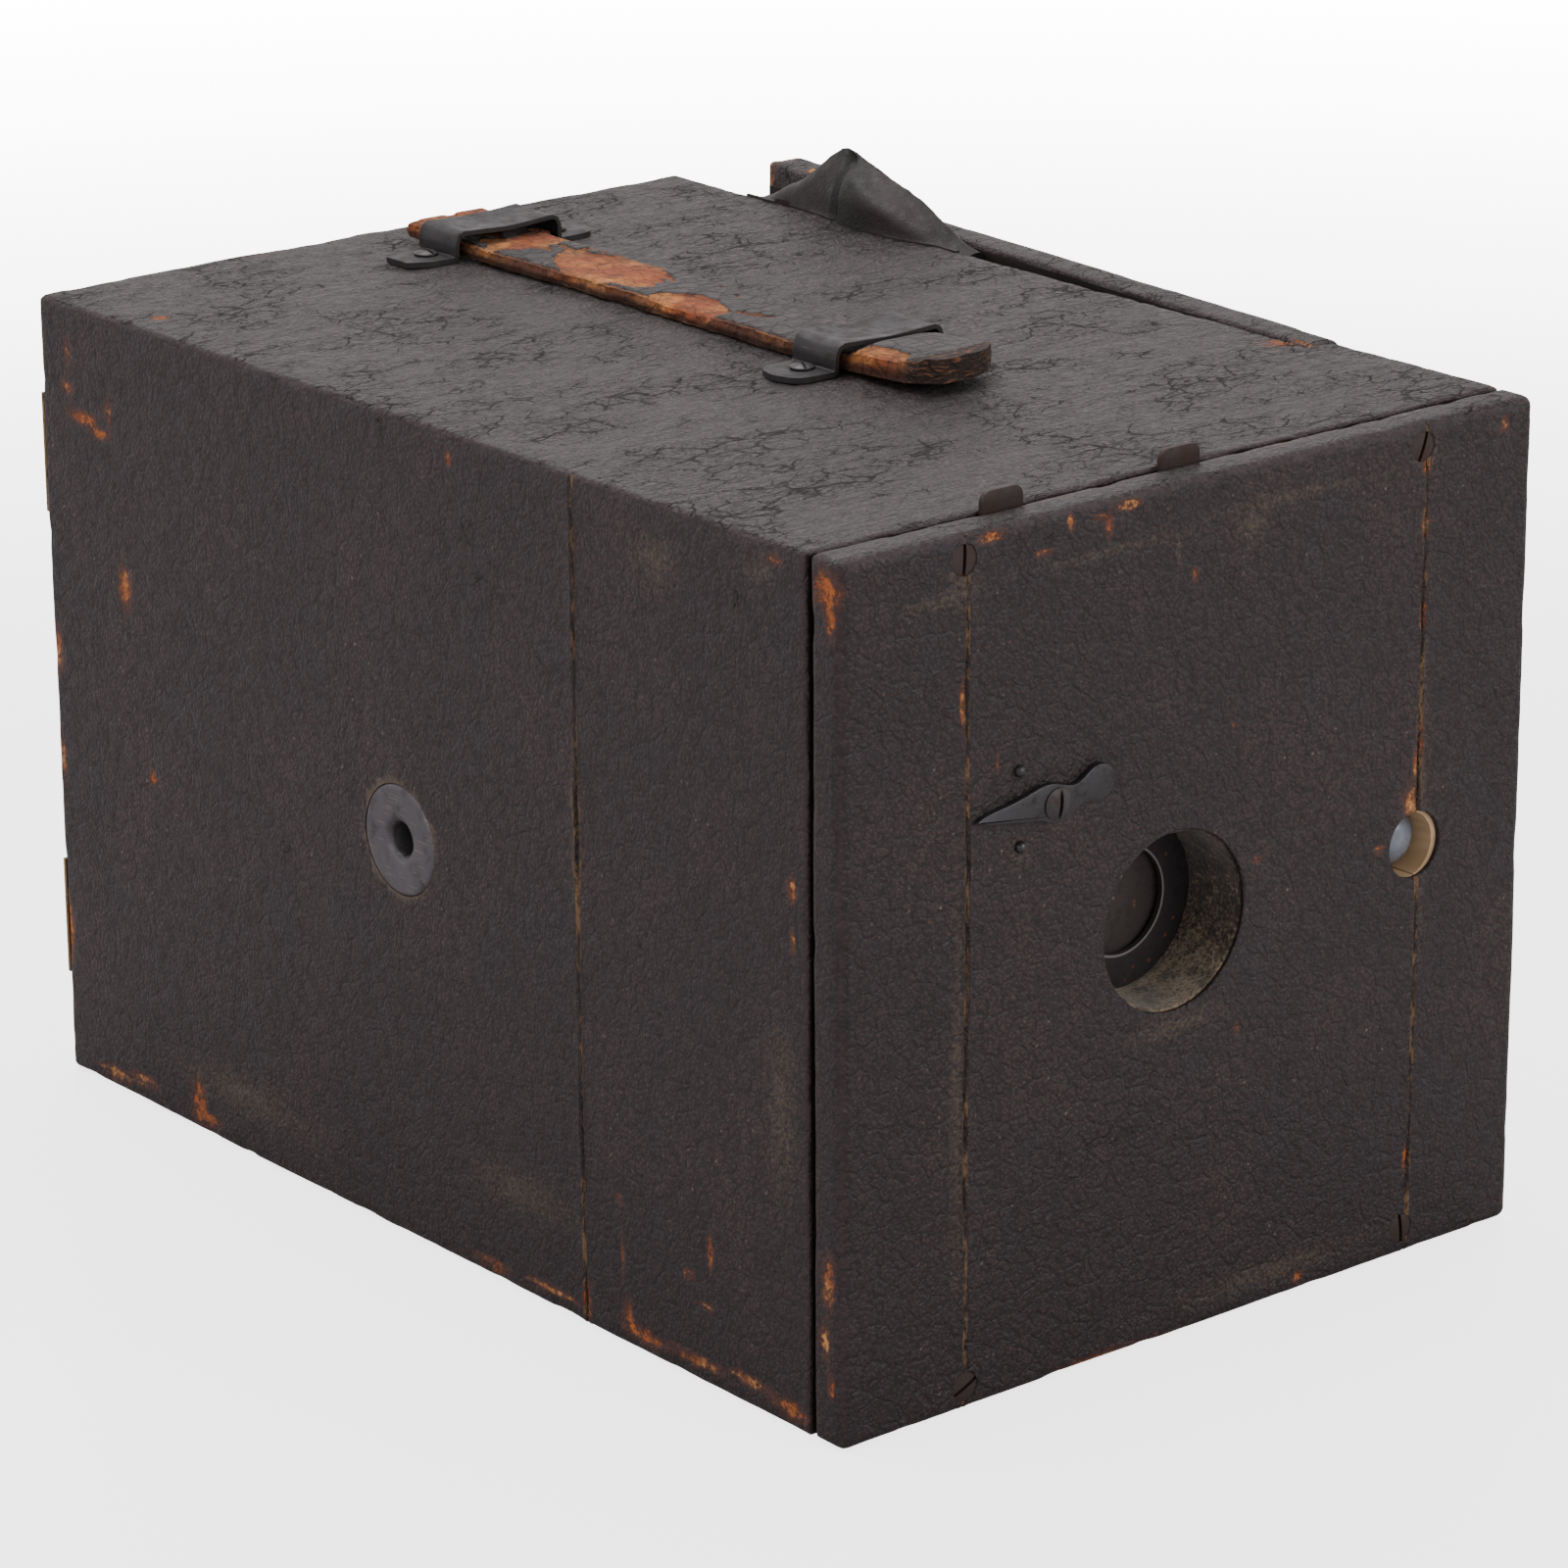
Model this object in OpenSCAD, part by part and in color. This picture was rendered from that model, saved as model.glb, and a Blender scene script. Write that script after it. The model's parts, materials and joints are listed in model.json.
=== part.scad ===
// Leather-covered wooden hand camera for 4 x 5 inch plates, standing on one end wall.
// Origin: centre of the base. The lens looks along -Y, the plates stand at +Y, +Z is up.
// The tripod bush is in the -X wall, the finder window and the bag lid are in the +X wall.

/* [Body] */
// Width of the body across X
body_w = 163.6; // [156:0.2:172]
// Height of the body along Z
body_h = 160; // [156:1:170]
// Length of the camera along Y, with the front panel
body_l = 242; // [238:1:260]
// Thickness of the wooden boards
board_t = 8; // [7:0.5:9]
// Thickness of the leather covering
leather_t = 1; // [0.8:0.1:1.2]
// Distance from the front face to the joint in the left wall
left_joint = 72.5; // [65:0.5:90]

/* [Front panel] */
// Thickness of the front panel with its leather
panel_t = 7.4; // [7:0.1:8]
// Gap behind the front panel, where the levers come out
panel_gap = 1.6; // [1.5:0.1:2]
// Lens hole diameter
lens_hole_d = 33.5; // [30:0.5:36]
// Lens axis, from the middle of the width
lens_x = -5.2; // [-7:0.2:-4]
// Lens axis height
lens_z = 79.6; // [78:0.2:82]
// Finder hole diameter
finder_hole_d = 12.6; // [10:0.2:14]
// Finder axis, from the middle of the width
finder_x = 52.9; // [51:0.1:54]
// Finder axis height
finder_z = 80.5; // [79:0.5:82]

/* [Bag lid] */
// Depth of the rebate that the lid closes into
lid_rebate = 6; // [5:0.5:7]
// Thickness of the lid with its leather
lid_t = 7.5; // [7:0.5:8]
// Front end of the lid, from the front face
lid_front = 51; // [48:1:54]
// Rear end of the lid, from the front face
lid_rear = 225; // [215:1:230]
// Angle at which the packed bag holds the lid
lid_ajar = 3.5; // [3:0.5:6]

/* [Tripod bush] */
// Diameter of the bush flange
bush_d = 21.4; // [18:0.2:24]
// Diameter of the threaded hole
bush_bore_d = 6.4; // [6:0.1:9.6]
// Bush position, from the front face
bush_y = 126; // [110:1:140]
// Bush height
bush_z = 78.8; // [70:0.2:90]

/* [Strap] */
// Width of the strap
strap_w = 21; // [18:1:22]
// Thickness of the strap
strap_t = 3.2; // [2.5:0.1:3.6]
// Middle of the strap, from the middle of the width
strap_x = 7.2; // [0:0.2:12]
// Front end of the strap, from the front face
strap_front = 72; // [60:1:85]
// Rear end of the strap, from the front face
strap_rear = 226; // [222:1:232]

/* [Plates] */
// Sheath width, across X
sheath_w = 106; // [104:1:108]
// Sheath height, along Z
sheath_h = 131; // [128:1:133]
// Number of sheaths in the magazine
sheaths = 12; // [6:1:12]
// Distance from one sheath to the next
sheath_pitch = 3.2; // [3:0.1:3.3]

/* [Hidden] */
$fn = 48;
eps = 0.01;
fit = 0.05;                      // radial clearance of a running fit
slack = 0.2;                     // clearance between boards that part or stand side by side

half_w = body_w / 2;
front_y = -body_l / 2;
rear_y = body_l / 2;
panel_back_y = front_y + panel_t;
body_front_y = panel_back_y + panel_gap;
wall = board_t + leather_t;
in_x = half_w - wall;            // inner face of the left wall, mirrored
bag_wall_x = half_w - lid_rebate;          // outer face of the wall under the lid
bag_in_x = bag_wall_x - wall;
lid_front_y = front_y + lid_front;
lid_rear_y = front_y + lid_rear;
joint_y = front_y + left_joint;
door_t = 8;
door_sink = 0.2;
door_in_y = rear_y - door_sink - door_t;

// Front panel
seam_left_x = -53.9;
seam_right_x = 54.7;
panel_screw_at = [[-54.5, 155.3], [-53.7, 4.5], [53.5, 155.5], [53.2, 5.4]];
panel_screw_r = 1.4;
panel_head_r = 2.7;

// Shutter, from front to back
lever_t = 1;
lever_y = panel_back_y + 0.3;
cover_t = 1;
collar_end_y = front_y + 14;
cover_y = collar_end_y + 0.2;
blade_t = 0.6;
blade_y = cover_y + cover_t + 0.9;
stop_t = 0.6;
stop_y = blade_y + blade_t + 0.7;
shutter_board_y = stop_y + stop_t + 0.6;
shutter_board_t = 6;
shutter_board_x1 = 41;
cover_r = 10;
lens_open_r = 9;
blade_pivot = [lens_x + 32, lens_z];
blade_r = 43.5;
blade_hole_r = 9.5;
blade_half_angle = 62;
blade_travel = 80;
blade_stud_r = 1.5;
cover_post_at = [[-48, 34], [36, 34], [-48, 118], [39, 120]];

// Levers, with their tabs above the top
lever_stud_r = 2;
lever_pivot_z = 126;
setting_x = 1.6;
release_x = -39.3;
tab_w = 9.2;
tab_top_z = body_h + 3.4;

// Stop selector
selector_at = [-34.3, 108.2];
selector_r = 1.9;
stop_pin_at = [[-42.1, 115.6], [-41.8, 101.8]];
stop_reach = norm([lens_x, lens_z] - selector_at);
stop_angle = atan2(lens_z - selector_at[1], lens_x - selector_at[0]);
stop_step = 24;
stop_half_angle = 39;
stop_radii = [8, 5.5, 3.5];

// Lens
lens_r = 11;
barrel_r = 13;
barrel_y = shutter_board_y + 2;
barrel_l = 30;

// Finder
finder_y = body_front_y - 0.4;
finder_l = 33;
finder_half = 11.5;
finder_wall = 1.5;
window_y = [finder_y + 9, finder_y + finder_l - 3];

// Magazine
gate_t = 4;
gate_y = front_y + 159;
stack_y = gate_y + gate_t + 0.2;
stack_end_y = stack_y + sheaths * sheath_pitch;
plate_w = 101.6;
plate_h = 127;
pressure_y = stack_end_y + 0.4;
pressure_t = 3;
guide_end_y = front_y + 221;
bag_mouth_y = [gate_y + gate_t, front_y + 221];
bag_mouth_z = [13, body_h - 13];

// Hinges: pins stand upright
knuckle_r = 1.4;
pin_r = 0.7;
hinge_l = 24;
knuckle_l = 8;
leaf_t = 0.8;
leaf_w = 6.9;
leaf_start = 1.7;                // from the pin, clear of the knuckles
leaf_screw = 5.4;                // from the pin
lid_pin = [bag_wall_x + 0.3 + lid_t + 1.6, lid_front_y + 0.3];
lid_hinge_z = [20, body_h - 20 - hinge_l];
door_pin = [-in_x + 0.15, rear_y + 1.6];
door_hinge_z = [20, body_h - 20 - hinge_l];
hinge_screw_r = 0.8;
hinge_head_r = 1.7;

// Bush
bush_at_y = front_y + bush_y;
bush_flange_t = 2.6;
bush_body_r = 7;

// Strap and its loops
loop_t = 1.1;
loop_l = 12.5;
loop_half = 11;
loop_h = 4.9;
loop_foot = 9;
loop_y = [front_y + 98, front_y + 214.5];
loop_screw_x = loop_half + loop_t + 3.8;
loop_screw_r = 1.2;

// ---------------------------------------------------------------- helpers

// Box between two corners
module block(low, high) {
    translate(low) cube(high - low);
}

// Rod along Y from y0, of length l
module rod_y(at, y0, l, r) {
    translate([at[0], y0, at[1]]) rotate([-90, 0, 0]) cylinder(r = r, h = l);
}

// Cone along Y, wide end at y0
module cone_y(at, y0, l, r0, r1) {
    translate([at[0], y0, at[1]]) rotate([-90, 0, 0]) cylinder(r1 = r0, r2 = r1, h = l);
}

// Rod along X from x0, of length l
module rod_x(y, z, x0, l, r) {
    translate([x0, y, z]) rotate([0, 90, 0]) cylinder(r = r, h = l);
}

// Flat sheet in the XZ plane, t thick, from y0 towards the rear
module sheet_y(y0, t) {
    translate([0, y0 + t, 0]) rotate([90, 0, 0]) linear_extrude(t) children();
}

// Sector of a disc: centre at the origin, mid-line along angle a, half-width h
module sector(r, a, h) {
    steps = 24;
    polygon(concat([[0, 0]],
        [for (i = [0:steps]) let (b = a - h + 2 * h * i / steps) r * [cos(b), sin(b)]]));
}

// Closed outline of the body in plan, grown inwards by d
module body_plan(d, y0, y1) {
    polygon([[-half_w + d, y0], [half_w - d, y0], [half_w - d, lid_front_y - d],
        [bag_wall_x - d, lid_front_y - d], [bag_wall_x - d, y1], [-half_w + d, y1]]);
}

module panel_screw_holes(r) {
    for (p = panel_screw_at) rod_y(p, front_y - 1, 20, r);
}

// Two-hole pattern of one loop
module loop_screw_places() {
    for (y = loop_y, s = [-1, 1]) translate([strap_x + s * loop_screw_x, y, body_h]) children();
}

// Hinge leaf with its outer knuckles (ends = true) or its middle one. Pin at the origin,
// leaf along +Y at a distance off in X.
module hinge_half(ends, off) {
    spans = ends ? [[0, knuckle_l - 0.1], [hinge_l - knuckle_l + 0.1, hinge_l]]
        : [[knuckle_l + 0.1, hinge_l - knuckle_l - 0.1]];
    difference() {
        union() {
            translate([off, leaf_start, 0]) cube([leaf_t, leaf_w, hinge_l]);
            for (s = spans) translate([0, 0, s[0]]) {
                cylinder(r = knuckle_r, h = s[1] - s[0]);
                translate([off, 0.4, 0]) cube([max(leaf_t, -off - 0.9), leaf_start - 0.3, s[1] - s[0]]);
            }
        }
        translate([0, 0, -1]) cylinder(r = pin_r + fit, h = hinge_l + 2);
        for (z = [5, hinge_l - 5]) translate([off - 1, leaf_screw, z])
            rotate([0, 90, 0]) cylinder(r = hinge_screw_r + fit, h = 3);
    }
}

// Two screws of one hinge leaf, driven along -X from the leaf's outer face
module leaf_screws(off) {
    for (z = [5, hinge_l - 5]) translate([off, leaf_screw, z]) rotate([0, 90, 0])
        difference() {
            union() {
                cylinder(r1 = hinge_head_r, r2 = hinge_head_r - 0.4, h = 0.5);
                translate([0, 0, -6]) cylinder(r = hinge_screw_r, h = 6.2);
            }
            translate([-0.25, -3, 0.2]) cube([0.5, 6, 1]);
        }
}

module leaf_screw_holes(off) {
    for (z = [5, hinge_l - 5]) translate([off - 8, leaf_screw, z]) rotate([0, 90, 0])
        cylinder(r = hinge_screw_r, h = 9);
}

// Places of the hinge halves: lid side, body side by the lid, door side, body side by the door
module at_lid_moving() {
    for (z = lid_hinge_z) translate([lid_pin[0], lid_pin[1], z]) children();
}

module at_lid_fixed() {
    for (z = lid_hinge_z) translate([lid_pin[0], lid_pin[1], z]) mirror([0, 1, 0]) children();
}

module at_door_moving() {
    for (z = door_hinge_z) translate([door_pin[0], door_pin[1], z])
        mirror([0, 1, 0]) rotate([0, 0, -90]) children();
}

module at_door_fixed() {
    for (z = door_hinge_z) translate([door_pin[0], door_pin[1], z])
        rotate([0, 0, 90]) children();
}

// Turns what is drawn closed to where the packed bag holds the lid
module lid_rest() {
    translate([lid_pin[0], lid_pin[1], 0]) rotate([0, 0, -lid_ajar])
        translate([-lid_pin[0], -lid_pin[1], 0]) children();
}

lid_leaf_off = -1.6;
lid_fixed_off = half_w - lid_pin[0];
door_leaf_off = -(door_pin[1] - rear_y + door_sink);
door_fixed_off = -(door_pin[1] - rear_y);

// ---------------------------------------------------------------- wooden body

module base_board() {
    color("sienna") difference() {
        translate([0, 0, leather_t]) linear_extrude(board_t)
            body_plan(leather_t, body_front_y, rear_y - leather_t);
        panel_screw_holes(panel_screw_r);
    }
}

module top_board() {
    color("sienna") difference() {
        translate([0, 0, body_h - wall]) linear_extrude(board_t)
            body_plan(leather_t, body_front_y, rear_y - leather_t);
        panel_screw_holes(panel_screw_r);
        loop_screw_places() translate([0, 0, -7]) cylinder(r = loop_screw_r, h = 8);
    }
}

module left_board_front() {
    color("peru") block([-half_w + leather_t, body_front_y, wall],
        [-in_x, joint_y - slack, body_h - wall]);
}

module left_board_rear() {
    color("peru") difference() {
        block([-half_w + leather_t, joint_y + slack, wall],
            [-in_x, rear_y - leather_t, body_h - wall]);
        rod_x(bush_at_y, bush_z, -half_w - 1, 1 + bush_flange_t, bush_d / 2);
        rod_x(bush_at_y, bush_z, -half_w, 20, bush_body_r);
        at_door_fixed() leaf_screw_holes(door_fixed_off);
    }
}

module finder_side_block() {
    color("peru") difference() {
        block([bag_in_x, body_front_y, wall],
            [half_w - leather_t, lid_front_y - leather_t, body_h - wall]);
        block([bag_in_x - 1, window_y[0], finder_z - finder_half + 1],
            [half_w, window_y[1], finder_z + finder_half - 1]);
        at_lid_fixed() leaf_screw_holes(lid_fixed_off);
    }
}

module bag_side_board() {
    color("peru") difference() {
        block([bag_in_x, lid_front_y - leather_t + slack, wall],
            [bag_wall_x - leather_t, rear_y - leather_t, body_h - wall]);
        block([bag_in_x - 1, bag_mouth_y[0], bag_mouth_z[0]],
            [bag_wall_x, bag_mouth_y[1], bag_mouth_z[1]]);
    }
}

module body_leather() {
    color("#2b2527") difference() {
        linear_extrude(body_h) body_plan(0, body_front_y, rear_y);
        translate([0, 0, leather_t]) linear_extrude(body_h - 2 * leather_t)
            body_plan(leather_t, body_front_y - 1, rear_y - leather_t);
        block([-in_x, rear_y - 5, wall], [bag_in_x, rear_y + 1, body_h - wall]);
        block([bag_in_x, bag_mouth_y[0], bag_mouth_z[0]],
            [half_w, bag_mouth_y[1], bag_mouth_z[1]]);
        block([bag_in_x, window_y[0], finder_z - finder_half + 1],
            [half_w + 1, window_y[1], finder_z + finder_half - 1]);
        rod_x(bush_at_y, bush_z, -half_w - 1, 3, bush_d / 2);
        loop_screw_places() translate([0, 0, -7]) cylinder(r = loop_screw_r, h = 8);
        at_lid_fixed() leaf_screw_holes(lid_fixed_off);
        at_door_fixed() leaf_screw_holes(door_fixed_off);
    }
}

// ---------------------------------------------------------------- front panel

// Everything that is drilled through the front panel
module panel_holes() {
    rod_y([lens_x, lens_z], front_y - 1, 30, lens_hole_d / 2);
    rod_y([finder_x, finder_z], front_y - 1, 10, finder_hole_d / 2);
    rod_y(selector_at, front_y - 1, 10, selector_r + fit);
    for (p = stop_pin_at) rod_y(p, front_y - 1, 5, 0.7);
    panel_screw_holes(panel_screw_r);
    for (p = panel_screw_at) rod_y(p, front_y - 1, 1.3, panel_head_r);
    for (p = panel_screw_at) cone_y(p, front_y + 0.3 - eps, 1.5, panel_head_r, panel_screw_r);
}

module panel_board(x0, x1) {
    difference() {
        block([x0, front_y + leather_t, leather_t], [x1, panel_back_y, body_h - leather_t]);
        panel_holes();
    }
}

module panel_centre() {
    color("burlywood") panel_board(seam_left_x + slack, seam_right_x - slack);
}

module panel_cleat_left() {
    color("tan") panel_board(-half_w + leather_t, seam_left_x - slack);
}

module panel_cleat_right() {
    color("tan") panel_board(seam_right_x + slack, half_w - leather_t);
}

module panel_leather() {
    color("#2a2426") difference() {
        block([-half_w, front_y, 0], [half_w, panel_back_y, body_h]);
        block([-half_w + leather_t, front_y + leather_t, leather_t],
            [half_w - leather_t, panel_back_y + 1, body_h - leather_t]);
        panel_holes();
    }
}

// Slotted countersunk screws, driven along +Y
module panel_screws() {
    color("#4a4444") for (p = panel_screw_at) difference() {
        union() {
            rod_y(p, front_y, 0.3, panel_head_r);
            cone_y(p, front_y + 0.3, 1.5, panel_head_r, panel_screw_r);
            rod_y(p, front_y + 1.7, 16, panel_screw_r);
        }
        block([p[0] - 0.4, front_y - 1, p[1] - 4], [p[0] + 0.4, front_y + 0.8, p[1] + 4]);
    }
}

// Leather washers that hold the panel off the body
module panel_washers() {
    color("saddlebrown") for (p = panel_screw_at) difference() {
        rod_y(p, panel_back_y, panel_gap, 3.2);
        rod_y(p, panel_back_y - 1, panel_gap + 2, panel_screw_r);
    }
}

module lens_collar() {
    color("#6b5a45") difference() {
        rod_y([lens_x, lens_z], panel_back_y, collar_end_y - panel_back_y, lens_hole_d / 2 + 3);
        rod_y([lens_x, lens_z], front_y, 30, lens_hole_d / 2);
    }
}

// ---------------------------------------------------------------- shutter

module shutter_board() {
    color("#3a2f28") difference() {
        block([-in_x, shutter_board_y, wall],
            [shutter_board_x1, shutter_board_y + shutter_board_t, body_h - wall]);
        rod_y([lens_x, lens_z], shutter_board_y - 1, 20, lens_open_r);
        rod_y([lens_x, lens_z], barrel_y, 20, barrel_r);
        rod_y(blade_pivot, shutter_board_y - 1, 6, blade_stud_r);
        for (x = [setting_x, release_x]) rod_y([x, lever_pivot_z], shutter_board_y - 1, 6, lever_stud_r);
        for (p = cover_post_at) rod_y(p, shutter_board_y - 1, 5, 0.8);
        for (a = [90, 210, 330])
            rod_y([lens_x, lens_z] + 18 * [cos(a), sin(a)], shutter_board_y + 1, 20, 0.9);
    }
}

module shutter_cover() {
    color("#1d1b1c") difference() {
        block([-52, cover_y, 30], [shutter_board_x1, cover_y + cover_t, 123]);
        rod_y([lens_x, lens_z], cover_y - 1, 4, cover_r);
        rod_y(selector_at, cover_y - 1, 4, selector_r + 0.3);
        for (p = cover_post_at) rod_y(p, cover_y - 1, 4, 0.8);
    }
}

// Posts that hold the cover off the shutter board, each with its pin
module cover_posts() {
    color("#8c7440") for (p = cover_post_at) {
        rod_y(p, cover_y + cover_t, shutter_board_y - cover_y - cover_t, 1.5);
        rod_y(p, cover_y - 0.4, shutter_board_y - cover_y + 4, 0.8);
        rod_y(p, cover_y - 0.8, 0.8, 1.6);
    }
}

module shutter_blade() {
    color("#4b4038") difference() {
        sheet_y(blade_y, blade_t) translate(blade_pivot) union() {
            sector(blade_r, 180 - blade_travel / 2, blade_half_angle);
            circle(r = 6);
        }
        rod_y(blade_pivot, blade_y - 1, 3, blade_stud_r + fit);
        rod_y(blade_pivot + (blade_pivot[0] - lens_x) * [cos(180 - blade_travel / 2),
            sin(180 - blade_travel / 2)], blade_y - 1, 3, blade_hole_r);
    }
}

module blade_stud() {
    color("#9a8450") {
        rod_y(blade_pivot, blade_y - 0.5, 0.4, 2.6);
        rod_y(blade_pivot, blade_y - 0.2, shutter_board_y - blade_y + 4, blade_stud_r);
    }
}

// Wire coil behind the blade, with one leg against a cover post
module blade_spring() {
    color("#77777a") translate([blade_pivot[0], stop_y + 0.6, blade_pivot[1]]) rotate([90, 0, 0]) {
        rotate_extrude() translate([2.4, 0]) circle(r = 0.3, $fn = 16);
        rotate([0, 90, -30]) translate([0, 2.4, 0]) cylinder(r = 0.3, h = 14, $fn = 16);
    }
}

// Two-arm lever with a rounded tab at its top
module rocker(x, foot) {
    difference() {
        sheet_y(lever_y, lever_t) union() {
            translate([x, lever_pivot_z]) circle(r = 5);
            translate([x - 3.5, lever_pivot_z]) square([7, tab_top_z - lever_pivot_z - 6]);
            translate([x - tab_w / 2, tab_top_z - 9]) square([tab_w, 7]);
            translate([x - tab_w / 2 + 2, tab_top_z - 5]) square([tab_w - 4, 5]);
            for (s = [-1, 1]) translate([x + s * (tab_w / 2 - 2), tab_top_z - 2]) circle(r = 2);
            polygon([[x - 3.5, lever_pivot_z], [x + 3.5, lever_pivot_z],
                [x + foot[0] + 2, foot[1]], [x + foot[0] - 2, foot[1]]]);
            translate([x + foot[0], foot[1]]) circle(r = 2);
        }
        rod_y([x, lever_pivot_z], lever_y - 1, 4, lever_stud_r + fit);
    }
}

module setting_lever() {
    color("#3b332f") rocker(setting_x, [3, 106]);
}

module release_lever() {
    color("#3b332f") rocker(release_x, [-8, 112]);
}

module lever_studs() {
    color("#9a8450") for (x = [setting_x, release_x]) {
        rod_y([x, lever_pivot_z], lever_y - 0.2, shutter_board_y - lever_y + 4, lever_stud_r);
        rod_y([x, lever_pivot_z], lever_y + lever_t + 0.1, 1.5, 3.4);
    }
}

// ---------------------------------------------------------------- stop selector

// Outline of the lever: pointed tail, hub, round thumb end
module selector_outline() {
    tail = [[0, 3.3], [-4, 2.9], [-8, 2.0], [-12, 1.7], [-15, 1.4], [-18.4, 0.6],
        [-15, -0.7], [-12, -1.3], [-8, -1.8], [-4, -2.9], [0, -3.3]];
    polygon(tail);
    circle(r = 3.4);
    polygon([[0, 2.7], [5, 2.0], [9.5, 5.0], [11.5, -1.0], [6, -0.9], [0, -2.7]]);
    translate([10.2, 1.9]) circle(r = 3.3);
}

module stop_selector() {
    color("#35302f") difference() {
        sheet_y(front_y - 1.5, 1.2) translate(selector_at) selector_outline();
        rod_y(selector_at, front_y - 3, 4, selector_r);
    }
}

module selector_spindle() {
    color("#4a4240") difference() {
        union() {
            rod_y(selector_at, front_y - 2.7, 1.2, 2.9);
            rod_y(selector_at, front_y - 2, stop_y + stop_t - front_y + 2.2, selector_r);
        }
        block([selector_at[0] - 0.4, front_y - 4, selector_at[1] - 4],
            [selector_at[0] + 0.4, front_y - 2.1, selector_at[1] + 4]);
    }
}

module stop_plate() {
    color("#2e2b2a") difference() {
        sheet_y(stop_y, stop_t) translate(selector_at) union() {
            sector(stop_reach + 10.5, stop_angle, stop_half_angle);
            circle(r = 5);
        }
        rod_y(selector_at, stop_y - 1, 3, selector_r);
        for (i = [0:2]) let (a = stop_angle + (i - 1) * stop_step)
            rod_y(selector_at + stop_reach * [cos(a), sin(a)], stop_y - 1, 3, stop_radii[i]);
    }
}

module stop_pins() {
    color("#5a5250") for (p = stop_pin_at) {
        rod_y(p, front_y - 1.6, 1.6, 1.1);
        rod_y(p, front_y - 0.2, 4.2, 0.7);
        translate([p[0], front_y - 1.6, p[1]]) intersection() {
            sphere(r = 1.1);
            translate([-2, -2, -2]) cube([4, 2, 4]);
        }
    }
}

// ---------------------------------------------------------------- lens

// Lens element: a disc with two bulging faces, on an axis along Y
module element(y0, r, t, bulge) {
    ball = (r * r + bulge * bulge) / (2 * bulge);
    translate([lens_x, y0, lens_z]) rotate([-90, 0, 0]) intersection() {
        cylinder(r = r, h = t);
        translate([0, 0, ball]) sphere(r = ball, $fn = 96);
        translate([0, 0, t - ball]) sphere(r = ball, $fn = 96);
    }
}

module lens_flange() {
    color("#8c7440") difference() {
        rod_y([lens_x, lens_z], shutter_board_y + shutter_board_t, 2, 22);
        rod_y([lens_x, lens_z], shutter_board_y, 20, barrel_r + fit);
        for (a = [90, 210, 330])
            rod_y([lens_x, lens_z] + 18 * [cos(a), sin(a)], shutter_board_y, 20, 0.9);
    }
}

module flange_screws() {
    color("#b59a58") for (a = [90, 210, 330])
        let (p = [lens_x, lens_z] + 18 * [cos(a), sin(a)]) difference() {
        union() {
            rod_y(p, shutter_board_y + 2, shutter_board_t, 0.9);
            rod_y(p, shutter_board_y + shutter_board_t + 2, 1, 2);
        }
        block([p[0] - 0.3, shutter_board_y + shutter_board_t + 2.5, p[1] - 3],
            [p[0] + 0.3, shutter_board_y + shutter_board_t + 4, p[1] + 3]);
    }
}

module lens_barrel() {
    color("#5e5136") difference() {
        union() {
            rod_y([lens_x, lens_z], barrel_y, barrel_l, barrel_r);
            rod_y([lens_x, lens_z], shutter_board_y + shutter_board_t + 2.2, 2, 16);
        }
        rod_y([lens_x, lens_z], barrel_y - 1, barrel_l + 2, lens_r);
    }
}

module front_lens() {
    color("lightblue", 0.5) element(barrel_y + 2, lens_r - 0.02, 5, 1.6);
}

module rear_lens() {
    color("lightblue", 0.5) element(barrel_y + barrel_l - 7, lens_r - 0.02, 5, 1.6);
}

module lens_rings() {
    color("#2a2826") for (y = [barrel_y, barrel_y + barrel_l - 2]) difference() {
        rod_y([lens_x, lens_z], y, 1.8, lens_r - 0.02);
        rod_y([lens_x, lens_z], y - 1, 4, lens_r - 1.6);
    }
}

// ---------------------------------------------------------------- finder

module finder_box() {
    color("#241f1d") difference() {
        block([finder_x - finder_half, finder_y, finder_z - finder_half],
            [bag_in_x - 0.1, finder_y + finder_l, finder_z + finder_half]);
        block([finder_x - finder_half + finder_wall, finder_y + 2, finder_z - finder_half + finder_wall],
            [bag_in_x + 1, finder_y + finder_l - finder_wall, finder_z + finder_half - finder_wall]);
        rod_y([finder_x, finder_z], finder_y - 1, 5, 7);
    }
}

module finder_lens() {
    color("lightsteelblue", 0.6) translate([finder_x, finder_y, finder_z])
        rotate([-90, 0, 0]) intersection() {
        cylinder(r = 6.98, h = 3);
        translate([0, 0, 17]) sphere(r = 17, $fn = 96);
    }
}

module finder_mirror() {
    color("silver") translate([finder_x, finder_y + 19, finder_z]) rotate([0, 0, 45])
        translate([-9.5, 0.5, -8.5]) cube([19, 1.2, 17]);
}

module finder_glass() {
    color("gainsboro", 0.7) block([bag_in_x + 1.5, window_y[0] + 0.05, finder_z - finder_half + 1.05],
        [bag_in_x + 3, window_y[1] - 0.05, finder_z + finder_half - 1.05]);
}

// ---------------------------------------------------------------- magazine

module magazine_gate() {
    color("#5b4030") difference() {
        block([-in_x, gate_y, wall], [bag_in_x, gate_y + gate_t, body_h - wall]);
        block([lens_x - 48, gate_y - 1, lens_z - 60.5], [lens_x + 48, gate_y + gate_t + 1, lens_z + 60.5]);
    }
}

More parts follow.
